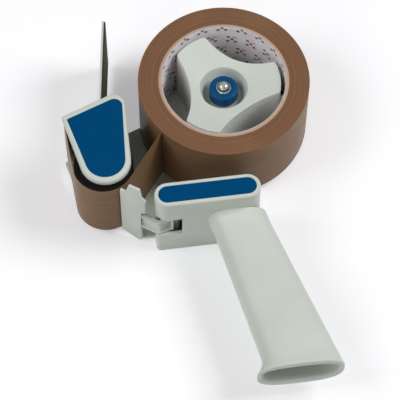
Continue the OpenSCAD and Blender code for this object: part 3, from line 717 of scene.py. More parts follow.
@dataclass(frozen=True)
class Finishes:
    """All the finishes of the dispenser."""

    white: bpy.types.Material
    blue: bpy.types.Material
    glossy: bpy.types.Material
    film: bpy.types.Material
    wound: bpy.types.Material
    card: bpy.types.Material
    paper: bpy.types.Material
    liner: bpy.types.Material
    steel: bpy.types.Material
    chrome: bpy.types.Material
    rubber: bpy.types.Material
    pad: bpy.types.Material
    black: bpy.types.Material
    nylon: bpy.types.Material
    fibre: bpy.types.Material

    @classmethod
    def make(cls) -> "Finishes":
        """Builds every material once.

        Returns:
            The set of finishes.
        """
        white, blue = (srgb(219, 225, 216), srgb(202, 208, 198)), (srgb(0, 73, 121), srgb(0, 80, 130))
        natural = (srgb(224, 218, 198), srgb(206, 198, 176))
        rows = {
            "white": MouldedPlastic("white_moulding", *white, 0.42, 0.08, 0.20),
            "blue": MouldedPlastic("blue_moulding", *blue, 0.42, 0.06, 0.03),
            "glossy": MouldedPlastic("knob_moulding_blue", *blue, 0.24, 0.05, 0.12),
            "film": FilmFace("tape_film", srgb(137, 107, 78), srgb(127, 98, 70)),
            "wound": WoundEdge("tape_wound_edge", srgb(136, 99, 73), srgb(119, 83, 57), srgb(148, 112, 87)),
            "card": Card("core_card", srgb(198, 173, 153), srgb(172, 147, 127)),
            "paper": Card("liner_edge", srgb(216, 196, 182), srgb(196, 174, 158)),
            "liner": PrintedLiner("core_liner", srgb(238, 230, 236), srgb(30, 30, 36), srgb(226, 116, 156),
                                  srgb(206, 198, 206), 12.4, 38.1),
            "steel": BareMetal("zinc_plated_steel", srgb(186, 188, 192), 0.34, 0.12),
            # Chrome base colour darkened and tinted green: painted reflection of dark greenish surroundings,
            # not the metal's own colour.
            "chrome": BareMetal("chrome_with_painted_reflection", srgb(152, 158, 153), 0.10, 0.02),
            # Black rubber made darker than rubber is, so the sleeve's top looks as dark as the shade under
            # the cover: partly the rubber's colour, partly painted shade.
            "rubber": MattRubber("black_rubber_painted_shade", srgb(6, 6, 5), srgb(22, 21, 20)),
            # Wiper pad in dark olive: a dark part coloured like the shade on the flap's side, so its colour
            # is painted shade.
            "pad": MattRubber("wiper_foam_painted_shade", srgb(60, 60, 47), srgb(78, 77, 62)),
            "black": MouldedPlastic("black_nylon", srgb(18, 18, 18), srgb(34, 34, 33), 0.50, 0.10, 0.15),
            "nylon": MouldedPlastic("natural_nylon", *natural, 0.46, 0.08, 0.25),
            "fibre": MouldedPlastic("pressed_fibre", srgb(118, 84, 56), srgb(90, 62, 40), 0.75, 0.30, 0.15),
        }
        return cls(**{name: finish.material() for name, finish in rows.items()})


# Sizes shared by the sub-assemblies


@dataclass(frozen=True)
class Layout:
    """Places and levels that several sub-assemblies share."""

    plate_t: float = 3.0
    tape_z: float = 6.0
    tape_top: float = 56.0
    roll_r: float = 53.0
    roller_r: float = 18.1
    web_gap: float = 0.25
    web_t: float = 0.4
    cover_z: float = 57.0
    cover_top: float = 61.2
    housing_top: float = 57.5
    inlay_drop: float = 0.2
    inlay_t: float = 0.6
    mid_z: float = 31.0
    housing_left: float = -52.4
    housing_right: float = 11.9
    housing_r: float = 8.0
    housing_y: float = -75.8
    roller_gap: float = 22.6
    roller_a: float = 212.0
    nose_at: Pair = (1.3, 0.65)
    nose_r: float = 15.5
    corner_at: Pair = (-20.6, 33.25)
    corner_r: float = 1.2
    shoulder_at: Pair = (10.1, 38.3)
    shoulder_r: float = 7.5

    @property
    def roller(self) -> Vector:
        """Axis of the roller in plan."""
        reach = self.roll_r + self.roller_gap + self.roller_r + self.web_gap + self.web_t
        return reach * unit(self.roller_a)

    @property
    def nose(self) -> Disc:
        """Round end of the cover."""
        return Disc(self.roller + Vector(self.nose_at), self.nose_r)

    @property
    def corner(self) -> Disc:
        """Blade corner of the cover."""
        return Disc(self.roller + Vector(self.corner_at), self.corner_r)

    @property
    def shoulder(self) -> Disc:
        """Blunt corner of the cover."""
        return Disc(self.roller + Vector(self.shoulder_at), self.shoulder_r)

    @property
    def front_y(self) -> float:
        """Front face of the housing."""
        return self.housing_y - self.housing_r

    def edge_place(self, along: float, out: float) -> Vector:
        """Place near the cover's long edge, as the source measures it.

        Args:
            along: distance from the blade corner along the edge.
            out: distance outwards from the line between the two corners' axes, turned to the edge.
        Returns:
            The place in plan.
        """
        corner, shoulder = self.corner, self.shoulder
        gap = (shoulder.centre - corner.centre).length
        lean = math.degrees(math.asin((shoulder.radius - corner.radius) / gap))
        angle = dir_of(corner.centre, shoulder.centre) + lean
        return corner.centre + along * unit(angle) + out * unit(angle + 90)

    @property
    def edge_a(self) -> float:
        """Direction of the cover's long edge."""
        return dir_of(self.edge_place(0, 0), self.edge_place(1, 0))


LAYOUT = Layout()

# Rim of a moulding: shares of the way from its outer outline to its recess, and the drop at the recess
ROUND_SHARE = 0.42
FLAT_SHARE = 0.72
LIP_SHARE = 0.90
LIP_DROP = 0.22
# Inlay: gap round it, and the margin and drop of each ring of its upper edge
INLAY_FIT = 0.04
INLAY_EDGE = ((0.0, 0.22), (0.07, 0.08), (0.22, 0.015), (0.9, 0.004), (0.95, 0.0))


def rimmed(
    outer: Plan, inner: Plan, low: float, top: float, floor: float, radius: float, foot: float = 0.0
) -> list[Ring]:
    """Rings of a wall with a rounded top, a rim and a recess for an inlay.

    Args:
        outer: outline of the wall.
        inner: outline of the recess.
        low: lowest level.
        top: level of the rim.
        floor: level of the recess floor.
        radius: height of the rounding of the outer edge.
        foot: height of a small rounding at the lower edge.
    Returns:
        Rings from the lower face, over the rim and down to the recess floor.
    """
    rings: list[Ring] = []
    if foot:
        rings += [at(between(outer, inner, 0.10), low), at(between(outer, inner, 0.03), low + foot * 0.3)]
    rings += [at(outer, low + foot), at(outer, lerp(low + foot, top - radius, 0.5)), at(outer, top - radius)]
    for a in quarter(6, 1):
        share = ROUND_SHARE * (1 - math.cos(a))
        rings.append(at(between(outer, inner, share), top - radius * (1 - math.sin(a))))
    rings.append(at(between(outer, inner, FLAT_SHARE), top))
    for a in quarter(3):
        share = LIP_SHARE + (1 - LIP_SHARE) * math.sin(a)
        rings.append(at(between(outer, inner, share), top - LIP_DROP * (1 - math.cos(a))))
    rings.append(at(inner, floor))
    return rings


def inlay_rings(plan: Callable[[float], Plan], low: float, high: float) -> list[Ring]:
    """Rings of a thin inlay with a rounded upper edge and a faint crown."""
    return [at(plan(0.0), low)] + [at(plan(margin), high - drop) for margin, drop in INLAY_EDGE]


# Sub-assemblies


@dataclass(frozen=True)
class FrontCover:
    """Cover over the roller, with its coloured inlay."""

    finishes: Finishes
    rim: float = 3.4
    edge_r: float = 2.0
    foot: float = 0.5
    boss_r: float = 5.0
    boss_h: float = 0.9
    boss_sunk: float = 0.4
    inlay_shoulder_at: Pair = (0.6, -1.2)
    inlay_shoulder_rim: float = 2.5
    inlay_corner_at: Pair = (2.9, -2.5)
    inlay_corner_r: float = 1.0

    def inlay_plan(self, margin: float) -> Plan:
        """Outline of the inlay.

        Args:
            margin: how far it is drawn in.
        Returns:
            The outline.
        """
        shoulder, corner = LAYOUT.shoulder, LAYOUT.corner
        return band([
            Disc(LAYOUT.nose.centre, LAYOUT.nose.radius - self.rim),
            Disc(shoulder.centre + Vector(self.inlay_shoulder_at), shoulder.radius - self.inlay_shoulder_rim),
            Disc(corner.centre + Vector(self.inlay_corner_at), self.inlay_corner_r),
        ], margin)

    def build(self) -> None:
        """Builds the cover and the inlay."""
        outer = band([LAYOUT.nose, LAYOUT.shoulder, LAYOUT.corner])
        low, top = LAYOUT.cover_z, LAYOUT.cover_top
        floor = top - LAYOUT.inlay_drop - LAYOUT.inlay_t
        rings = rimmed(outer, self.inlay_plan(0.0), low, top, floor, self.edge_r, self.foot)
        cover = loft("cover_moulding", rings)
        profile = [(self.boss_r, low + self.boss_sunk), (self.boss_r, low - self.boss_h)]
        combine(cover, turned("boss", profile, 48, LAYOUT.roller), "UNION")
        dress(cover, self.finishes.white, Body.FRAME, Slot.WHITE, "front_cover")
        inlay = loft("cover_inlay_moulding", inlay_rings(
            lambda m: self.inlay_plan(INLAY_FIT + m), floor, top - LAYOUT.inlay_drop))
        dress(inlay, self.finishes.blue, Body.FRAME, Slot.BLUE, "cover_inlay")


@dataclass(frozen=True)
class GripHousing:
    """Hollow housing with the lever's window, its foot and its inlay."""

    finishes: Finishes
    wall: float = 2.2
    deck_t: float = 2.5
    rim: float = 2.4
    edge_r: float = 1.1
    foot_h: float = 17.0
    foot_r: float = 2.5
    window_w: float = 15.9
    window_low: float = 20.0
    window_high: float = 38.4
    window_depth: float = 5.2

    def plan(self, margin: float) -> Plan:
        """Outline with two round ends.

        Args:
            margin: how far it is drawn in.
        Returns:
            The outline.
        """
        y, r = LAYOUT.housing_y, LAYOUT.housing_r
        right = Disc(Vector((LAYOUT.housing_right - r, y)), r)
        left = Disc(Vector((LAYOUT.housing_left + r, y)), r)
        return band([right, left], margin, 32, 24)

    def foot(self) -> bpy.types.Object:
        """Square foot at the lever's side.

        Returns:
            The foot, to be joined to the housing.
        """
        x, y, r = LAYOUT.housing_left, LAYOUT.front_y, self.foot_r
        side = LAYOUT.housing_r
        arc = [Vector((x + r, y + r)) + r * unit(a) for a in range(180, 271, 10)]
        plan = [(p.x, p.y) for p in arc] + [(x + side, y), (x + side, y + side), (x, y + side)]
        low, high = LAYOUT.plate_t, LAYOUT.plate_t + self.foot_h
        return loft("foot", [at(plan, low), at(plan, high)])

    def build(self) -> None:
        """Builds the housing and its inlay."""
        low, top, left, front = LAYOUT.plate_t, LAYOUT.housing_top, LAYOUT.housing_left, LAYOUT.front_y
        floor = top - LAYOUT.inlay_drop - LAYOUT.inlay_t
        rings = rimmed(self.plan(0), self.plan(self.rim), low, top, floor, self.edge_r)
        body = loft("housing_moulding", rings)
        combine(body, self.foot(), "UNION")
        inner = self.plan(self.wall)
        combine(body, loft("cavity", [at(inner, low - 1), at(inner, top - self.deck_t)]))
        window = block("window", (left - 1, front - 1, self.window_low),
                       (left + self.window_w, front + self.window_depth, self.window_high))
        combine(body, window)
        round_edges(body, 0.35, 2, 50)
        dress(body, self.finishes.white, Body.FRAME, Slot.WHITE, "housing")
        inlay = loft("housing_inlay_moulding", inlay_rings(
            lambda m: self.plan(self.rim + INLAY_FIT + m), floor, top - LAYOUT.inlay_drop))
        dress(inlay, self.finishes.blue, Body.FRAME, Slot.BLUE, "housing_inlay")


@dataclass(frozen=True)
class Handle:
    """Hollow handle with a flared, rounded lip and a bore that keeps its height."""

    finishes: Finishes
    length: float = 105.7
    height: float = 25.8
    wall: float = 3.0
    left: float = 19.6
    right: float = 14.3
    left_slope: float = 0.192
    right_slope: float = 0.302
    lip_l: float = 13.7
    lip_left: float = 7.6
    lip_h: float = 2.5
    root_l: float = 12.0
    root_left: float = 1.2
    root_right: float = 0.6
    root_h: float = 0.8
    inner_edge: float = 1.4
    web_t: float = 3.0
    squareness: float = 0.72
    count: int = 96
    stations: tuple[float, ...] = (0.0, 1.5, 3, 4.5, 6, 8, 10, 12, 20, 30, 45, 60, 75)
    bore_stations: tuple[float, ...] = (75, 60, 45, 30, 20, 12, 9, 6)

    def ring(self, s: float, t: float, swell: float = 1.0) -> Ring:
        """Section of the handle.

        Args:
            s: distance from the housing.
            t: how far it is drawn in.
            swell: share of the lip's extra height.
        Returns:
            The section.
        """
        flare = max(0.0, (s - self.length + self.lip_l) / self.lip_l) ** 2
        root = max(0.0, 1 - s / self.root_l) ** 2
        left = -self.left + self.left_slope * s - self.lip_left * flare - self.root_left * root + t
        right = self.right + self.right_slope * s + self.root_right * root - t
        half = self.height / 2 + self.lip_h * flare * swell + self.root_h * root - t
        ring: Ring = []
        for k in range(self.count):
            a = 2 * math.pi * k / self.count
            c, d = math.cos(a), math.sin(a)
            ring.append((
                (left + right) / 2 + (right - left) / 2 * math.copysign(abs(c) ** self.squareness, c),
                LAYOUT.front_y - s,
                LAYOUT.mid_z + half * math.copysign(abs(d) ** self.squareness, d),
            ))
        return ring

    def build(self) -> None:
        """Builds the shell as one loft: out along the outside, over the lip and back inside."""
        r, e = self.wall / 2, self.inner_edge
        outside = [*self.stations, self.length - self.lip_l]
        outside += [self.length - self.lip_l * (1 - k / 8) for k in range(1, 8)]
        rings = [self.ring(s, 0.0) for s in outside]
        for a in quarter(4):
            rings.append(self.ring(self.length - r + r * math.sin(a), r * (1 - math.cos(a))))
        for a in quarter(4):
            rings.append(self.ring(self.length - e + e * math.cos(a), self.wall - e + e * math.sin(a), 0.0))
        inside = [self.length - self.lip_l * (k / 8) for k in range(1, 9)]
        inside += [*self.bore_stations, self.web_t]
        rings += [self.ring(s, self.wall, 0.0) for s in inside]
        shell = loft("handle_moulding", rings)
        dress(shell, self.finishes.white, Body.FRAME, Slot.WHITE, "handle", angle=50)


@dataclass(frozen=True)
class RollHub:
    """Three-lobed hub with its dished face and recess."""

    finishes: Finishes
    lobe_r: float = 35.5
    scallop_c: float = 71.3
    scallop_r: float = 50.5
    dish_z: float = 46.3
    lobe_top: float = 52.5
    floor_z: float = 36.4
    recess_r: float = 14.7
    recess_floor_r: float = 11.5
    flange_r: float = 44.5
    flange_z: float = 4.0
    flange_t: float = 2.0
    flange_chamfer: float = 0.4
    bore_r: float = 5.55
    well_r: float = 7.0
    well_z: float = 16.6
    edge_w: float = 0.7
    edge_h: float = 0.75
    rib_r: float = 37.95
    rib_h: float = 36.0
    rib_w: float = 2.0
    scallops: Triple = (60, 180, 300)
    rib_turns: tuple[float, ...] = (-13, 13, 107, 133, 227, 253)
    count: int = 360

    def outline(self, margin: float) -> Plan:
        """Plan of the lobes with slightly rounded corners.

        Args:
            margin: how far it is drawn in.
        Returns:
            The outline.
        """
        radii = []
        for k in range(self.count):
            a = math.radians(360 * k / self.count)
            best = self.lobe_r - margin
            for scallop in self.scallops:
                turn = a - math.radians(scallop)
                reach = self.scallop_c * math.cos(turn)
                inside = (self.scallop_r + margin) ** 2 - (self.scallop_c * math.sin(turn)) ** 2
                if inside > 0 and reach > 0:
                    best = min(best, reach - math.sqrt(inside))
            radii.append(best)
        for _ in range(3):
            after = radii[1:] + radii[:1]
            radii = [(radii[k - 1] + 2 * radii[k] + after[k]) / 4 for k in range(self.count)]
        turns = [2 * math.pi * k / self.count for k in range(self.count)]
        return [(r * math.cos(a), r * math.sin(a)) for r, a in zip(radii, turns)]

    def dish(self, radius: float) -> float:
        """Level of the dished face."""
        rise = self.lobe_top - self.dish_z
        return self.dish_z + rise * (radius - self.recess_r) / (self.lobe_r - self.recess_r)

    def full(self, radius: float) -> Plan:
        """Circle with as many points as the outline of the lobes."""
        return circle(radius, self.count)

    def on_dish(self, plan: Plan, drop: float = 0.0) -> Ring:
        """The outline laid on the dished face."""
        return [(x, y, self.dish(math.hypot(x, y)) - drop) for x, y in plan]

    def build(self) -> None:
        """Builds the hub with its six gripping ribs."""
        full, z, chamfer = self.full, self.flange_z, self.flange_chamfer
        top = z + self.flange_t
        lobes, mouth = self.outline(0.0), full(self.recess_r)
        rings = [
            at(full(self.bore_r), z),
            at(full(self.flange_r - chamfer), z), at(full(self.flange_r), z + chamfer),
            at(full(self.flange_r), top - chamfer), at(full(self.flange_r - chamfer), top),
            at(self.outline(-1.0), top), at(self.outline(-0.3), top + 0.3), at(lobes, top + 1),
            self.on_dish(lobes, 30.0), self.on_dish(lobes, 12.0), self.on_dish(lobes, self.edge_h),
        ]
        for a in quarter(4, 1):
            edge = self.outline(self.edge_w * (1 - math.cos(a)))
            rings.append(self.on_dish(edge, self.edge_h * (1 - math.sin(a))))
        edge = self.outline(self.edge_w)
        for k in range(1, 10):
            rings.append(self.on_dish(between(edge, mouth, 0.96 * k / 9)))
        rings += [
            self.on_dish(full(self.recess_r + 0.35), 0.06),
            at(full(self.recess_r + 0.05), self.dish_z - 0.30),
            at(full(self.recess_r - 0.25), self.dish_z - 0.9),
            at(full(self.recess_floor_r + 0.5), self.floor_z + 1.0),
            at(full(self.recess_floor_r + 0.1), self.floor_z + 0.25),
            at(full(self.recess_floor_r - 0.5), self.floor_z), at(full(self.well_r), self.floor_z),
            at(full(self.well_r), self.well_z), at(full(self.bore_r), self.well_z),
        ]
        hub = loft("hub_moulding", rings, closed=True)
        ribs = []
        low, half = LAYOUT.tape_z, self.rib_w / 2
        for turn in self.rib_turns:
            rib = block("rib", (self.lobe_r - 1.5, -half, low), (self.rib_r, half, low + self.rib_h))
            round_edges(rib, 0.4, 2)
            rib.data.transform(Matrix.Rotation(math.radians(turn), 4, "Z"))
            ribs.append(rib)
        merge([hub] + ribs)
        dress(hub, self.finishes.white, Body.ROLL, Slot.WHITE, "hub")


@dataclass(frozen=True)
class TensionKnob:
    """Brake knob with its chrome cap nut."""

    finishes: Finishes
    radius: float = 9.05
    low: float = 38.0
    high: float = 46.6
    edge_w: float = 1.5
    edge_h: float = 1.7
    bore_r: float = 3.1
    nut_r: float = 4.7
    nut_h: float = 4.0
    nut_sunk: float = 2.9
    nut_gap: float = 0.06

    def build(self) -> None:
        """Builds the knob and the nut."""
        r, low, high, nut_r = self.radius, self.low, self.high, self.nut_r
        profile = [(self.bore_r, low), (r - 0.5, low), (r, low + 0.5), (r, high - self.edge_h)]
        for a in quarter(6, 1):
            profile.append((r - self.edge_w * (1 - math.cos(a)), high - self.edge_h * (1 - math.sin(a))))
        profile += [
            (r - 2.4, high - 0.06), (nut_r + 0.5, high - 0.30), (nut_r + self.nut_gap, high - 0.55),
            (nut_r + self.nut_gap, high - self.nut_sunk), (self.bore_r, high - self.nut_sunk),
        ]
        knob = turned("knob_moulding", profile, 96, closed=True)
        dress(knob, self.finishes.glossy, Body.KNOB, Slot.BLUE, "tension_knob")
        base, foot = high - 0.5, high - self.nut_sunk
        dome = [
            (self.bore_r, foot), (nut_r, foot), (nut_r, base + 0.5), (nut_r - 0.25, base + 0.75),
            (nut_r - 0.6, base + 0.8), (nut_r - 0.75, base + 0.95),
        ]
        reach, rise = nut_r - 0.8, self.nut_h - 0.5
        for a in quarter(12, 1)[:-1]:
            dome.append((reach * math.cos(a), base + 1.0 + rise * math.sin(a)))
        dome.append((0.12, high + self.nut_h - 0.002))
        nut = turned("cap_nut", dome, 64)
        dress(nut, self.finishes.chrome, Body.KNOB, Slot.CHROME, "dome_nut")


def paint_tape(obj: bpy.types.Object, finishes: Finishes) -> None:
    """Gives a piece of tape the film on its faces and the cut edge's finish where it is level.

    Args:
        obj: the piece, without materials.
        finishes: all the finishes.
    """
    for finish in (finishes.film, finishes.wound):
        obj.data.materials.append(finish)
    for face in obj.data.polygons:
        face.material_index = 1 if abs(face.normal.z) > 0.5 else 0


@dataclass(frozen=True)
class TapeRoll:
    """Wound tape on its printed card core."""

    finishes: Finishes
    core_in: float = 38.1
    core_out: float = 40.6
    liner_t: float = 0.7
    steps: tuple[float, ...] = (0.0, 0.10, 0.03, 0.12, 0.05, 0.0, 0.09, 0.02, 0.14, 0.06, 0.10, 0.02)
    count: int = 180

    def wound_profile(self) -> Plan:
        """Profile of the wound tape: some layers stand a little proud of the rest at both edges.

        Returns:
            Points as (radius, level).
        """
        low, high, steps = LAYOUT.tape_z, LAYOUT.tape_top, self.steps
        inner, outer = self.core_out + 0.05, LAYOUT.roll_r
        radii = [inner + (outer - 0.3 - inner) * k / len(steps) for k in range(len(steps) + 1)]
        top = [(inner, high - 0.25)]
        for step, r0, r1 in zip(steps, radii, radii[1:]):
            top += [(r0 + 0.04, high - step), (r1 - 0.04, high - step)]
        top += [(outer - 0.12, high - 0.02), (outer, high - 0.16)]
        bottom = [(r, low + (high - z)) for r, z in reversed(top)]
        return top + [(outer, (low + high) / 2)] + bottom

    def build(self) -> None:
        """Builds the wound tape and the core."""
        wound = turned("wound_tape", self.wound_profile(), self.count, closed=True)
        paint_tape(wound, self.finishes)
        dress(wound, self.finishes.film, Body.ROLL, Slot.TAPE, "tape_roll", angle=30)
        low, high, a, b = LAYOUT.tape_z, LAYOUT.tape_top, self.core_in, self.core_out
        core = turned("core_tube", [
            (a, low + 0.3), (a, (low + high) / 2), (a, high - 0.35), (a + 0.12, high - 0.08),
            (a + 0.35, high), (a + self.liner_t, high - 0.02), (b - 0.3, high - 0.03), (b, high - 0.3),
            (b, low + 0.3), (b - 0.3, low), (a + self.liner_t, low), (a + 0.3, low),
        ], self.count, closed=True)
        for finish in (self.finishes.card, self.finishes.liner, self.finishes.paper):
            core.data.materials.append(finish)
        for face in core.data.polygons:
            out = Vector((face.center.x, face.center.y, 0))
            if face.normal.dot(out.normalized()) < -0.8:
                face.material_index = 1
            elif out.length < (a + self.liner_t) * MM:
                face.material_index = 2
        dress(core, self.finishes.card, Body.ROLL, Slot.CARD, "tape_core", angle=50)


@dataclass(frozen=True)
class TapeWeb:
    """Free length of tape from the roll round the roller to the blade."""

    finishes: Finishes
    peel_a: float = 217.0
    clearance: float = 0.3
    thickness: float = 0.28
    end_y: float = 3.2
    on_roll: tuple[float, ...] = (14, 12, 10, 8, 6, 4, 2)
    levels: int = 8
    wrap_steps: int = 72

    def path(self) -> list[tuple[Vector, Vector]]:
        """Middle line of the strip, with a mitred bend at the roll.

        Returns:
            Each place with the direction of the strip's left side.
        """
        peel_r = LAYOUT.roll_r + self.clearance + LAYOUT.web_t / 2
        peel = peel_r * unit(self.peel_a)
        roller, radius = LAYOUT.roller, LAYOUT.roller_r + LAYOUT.web_gap + LAYOUT.web_t / 2
        on_a = dir_of(roller, peel) - math.degrees(math.acos(radius / (peel - roller).length))
        end = LAYOUT.corner.centre + Vector((-self.clearance, self.end_y))
        off_a = dir_of(roller, end) + math.degrees(math.acos(radius / (end - roller).length)) - 360
        left, back = unit(on_a), unit(self.peel_a)
        bend = (left - back) / (1 - left.dot(back))
        touch = roller + radius * unit(on_a)
        path = [(peel_r * unit(self.peel_a - a), -unit(self.peel_a - a)) for a in self.on_roll]
        path.append((peel, bend))
        path += [(peel.lerp(touch, k / 12), left) for k in range(1, 12)]
        for k in range(self.wrap_steps + 1):
            a = lerp(on_a, off_a, k / self.wrap_steps)
            path.append((roller + radius * unit(a), unit(a)))
        last = roller + radius * unit(off_a)
        path += [(last.lerp(end, k / 6), unit(off_a)) for k in range(1, 7)]
        return path

    def build(self) -> None:
        """Builds the strip as one loft along its way."""
        rings: list[Ring] = []
        half = self.thickness / 2
        heights = [lerp(LAYOUT.tape_z, LAYOUT.tape_top, k / self.levels) for k in range(self.levels + 1)]
        for place, left in self.path():
            a, b = place + half * left, place - half * left
            rings.append([(a.x, a.y, z) for z in heights] + [(b.x, b.y, z) for z in reversed(heights)])
        strip = loft("tape_strip", rings)
        paint_tape(strip, self.finishes)
        dress(strip, self.finishes.film, Body.FRAME, Slot.TAPE, "tape_web", angle=30)


@dataclass(frozen=True)
class GuideRoller:
    """Rubber sleeve of the roller."""

    finishes: Finishes
    sleeve_t: float = 3.1
    fit: float = 0.03

    def build(self) -> None:
        """Builds the sleeve with rounded ends."""
        low, high, r = LAYOUT.tape_z, LAYOUT.tape_top, LAYOUT.roller_r
        inner = r - self.sleeve_t + self.fit
        profile = [
            (inner, low + 0.2), (inner + 0.2, low), (r - 0.5, low), (r - 0.15, low + 0.15), (r, low + 0.5),
            (r, (low + high) / 2), (r, high - 0.5), (r - 0.15, high - 0.15), (r - 0.5, high),
            (inner + 0.2, high), (inner, high - 0.2),
        ]
        sleeve = turned("sleeve_rubber", profile, 128, LAYOUT.roller, closed=True)
        dress(sleeve, self.finishes.rubber, Body.ROLLER, Slot.RUBBER, "roller_sleeve")


@dataclass(frozen=True)
class SoftenedNode:
    """CAD node whose shape is right: shown as a copy with rounded edges."""

    name: str
    node: str
    finish: bpy.types.Material
    body: Body
    slot: Slot
    width: float

    def build(self) -> None:
        """Builds the copy."""
        obj = softened(self.name, self.node, self.width)
        dress(obj, self.finish, self.body, self.slot, self.node)


@dataclass(frozen=True)
class CrossScrews:
    """Screws of one node, with a rounded edge and a cross recess in each head."""

    name: str
    node: str
    finish: bpy.types.Material
    facing: Vector
    depth: float = 0.9
    width: float = 0.75
    reach: float = 2.9
    edge: float = 0.15
    first_turn: float = 23.0
    next_turn: float = 67.0

    def heads(self, obj: bpy.types.Object) -> list[Vector]:
        """Middle of each head's face.

        Args:
            obj: the screws' mesh.
        Returns:
            One place for each screw, in metres.
        """
        mesh = bmesh.new()
        mesh.from_mesh(obj.data)
        verts, places = list(mesh.verts), []
        left = set(range(len(verts)))
        while left:
            island = [min(left)]
            left.remove(island[0])
            for index in island:
                near = {edge.other_vert(verts[index]).index for edge in verts[index].link_edges} & left
                left -= near
                island.extend(sorted(near))
            spots = [verts[index].co.copy() for index in island]
            top = max(spot.dot(self.facing) for spot in spots)
            face = [spot for spot in spots if spot.dot(self.facing) > top - FACE_DEPTH]
            places.append(sum(face, Vector()) / len(face))
        mesh.free()
        return places

    def build(self) -> None:
        """Builds the screws and cuts their recesses."""
        obj = softened(self.name, self.node, self.edge)
        upright = self.facing.to_track_quat("Z", "Y").to_matrix().to_4x4()
        reach, width = self.reach / 2, self.width / 2
        for k, place in enumerate(self.heads(obj)):
            for cross in (0, 90):
                tool = block("recess", (-reach, -width, -self.depth), (reach, width, 1.0))
                spin = Matrix.Rotation(math.radians(self.first_turn + self.next_turn * k + cross), 4, "Z")
                tool.data.transform(Matrix.Translation(place) @ upright @ spin)
                combine(obj, tool)
        dress(obj, self.finish, Body.FRAME, Slot.STEEL, self.node)


@dataclass(frozen=True)
class CoilSpring:
    """Round wire wound about an upright axis."""

    name: str
    node: str
    finish: bpy.types.Material
    centre: Vector
    start: float
    low: float
    radius: float
    wire: float
    turns: int
    height: float
    steps: int = 24
    sides: int = 10

    def build(self) -> None:
        """Builds the wire as one loft along its turns."""
        rings: list[Ring] = []
        for k in range(self.turns * self.steps + 1):
            out = unit(self.start + 360 * k / self.steps)
            level = self.low + self.height * k / (self.turns * self.steps)
            ring: Ring = []
            for across, rise in circle(self.wire / 2, self.sides):
                place = self.centre + (self.radius + across) * out
                ring.append((place.x, place.y, level + rise))
            rings.append(ring)
        coil = loft(self.name, rings)
        dress(coil, self.finish, Body.FRAME, Slot.STEEL, self.node)


@dataclass(frozen=True)
class CarriedNodes:
    """CAD nodes that keep their mesh and get a finish."""

    finishes: Finishes
    steel: tuple[str, ...] = (
        "cover_screws", "axle_screw", "roller_axle", "flap_pin", "retainer_pin", "spindle", "brake_spring",
        "thrust_washer",
    )
    black: tuple[str, ...] = ("roller_core",)
    nylon: tuple[str, ...] = ("hub_bush", "roller_bushes")
    fibre: tuple[str, ...] = ("brake_washer",)

    def build(self) -> None:
        """Puts a finish on each node that no piece stands for."""
        rows = (
            (self.finishes.steel, self.steel), (self.finishes.black, self.black),
            (self.finishes.nylon, self.nylon), (self.finishes.fibre, self.fibre),
        )
        for finish, nodes in rows:
            for node in nodes:
                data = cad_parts[node].data
                data.materials.clear()
                data.materials.append(finish)


# Studio


def side(azimuth: float, elevation: float) -> Vector:
    """Direction to a side of the object, in degrees: azimuth 0 is the handle's end and 90 is +X."""
    az, el = math.radians(azimuth), math.radians(elevation)
    return Vector((math.sin(az) * math.cos(el), -math.cos(az) * math.cos(el), math.sin(el)))


def seen_directly(tree: bpy.types.NodeTree) -> Socket:
    """Factor that is 1 for rays from the camera, a glossy face or a clear one, and 0 for diffuse light.

    Args:
        tree: the node tree that it is added to.
    Returns:
        The factor's socket.
    """
    path = tree.nodes.new("ShaderNodeLightPath")
    factor = path.outputs["Is Camera Ray"]
    for kind in ("Is Glossy Ray", "Is Transmission Ray"):
        either = tree.nodes.new("ShaderNodeMath")
        either.operation = "MAXIMUM"
        tree.links.new(factor, either.inputs[0])
        tree.links.new(path.outputs[kind], either.inputs[1])
        factor = either.outputs[0]
    return factor


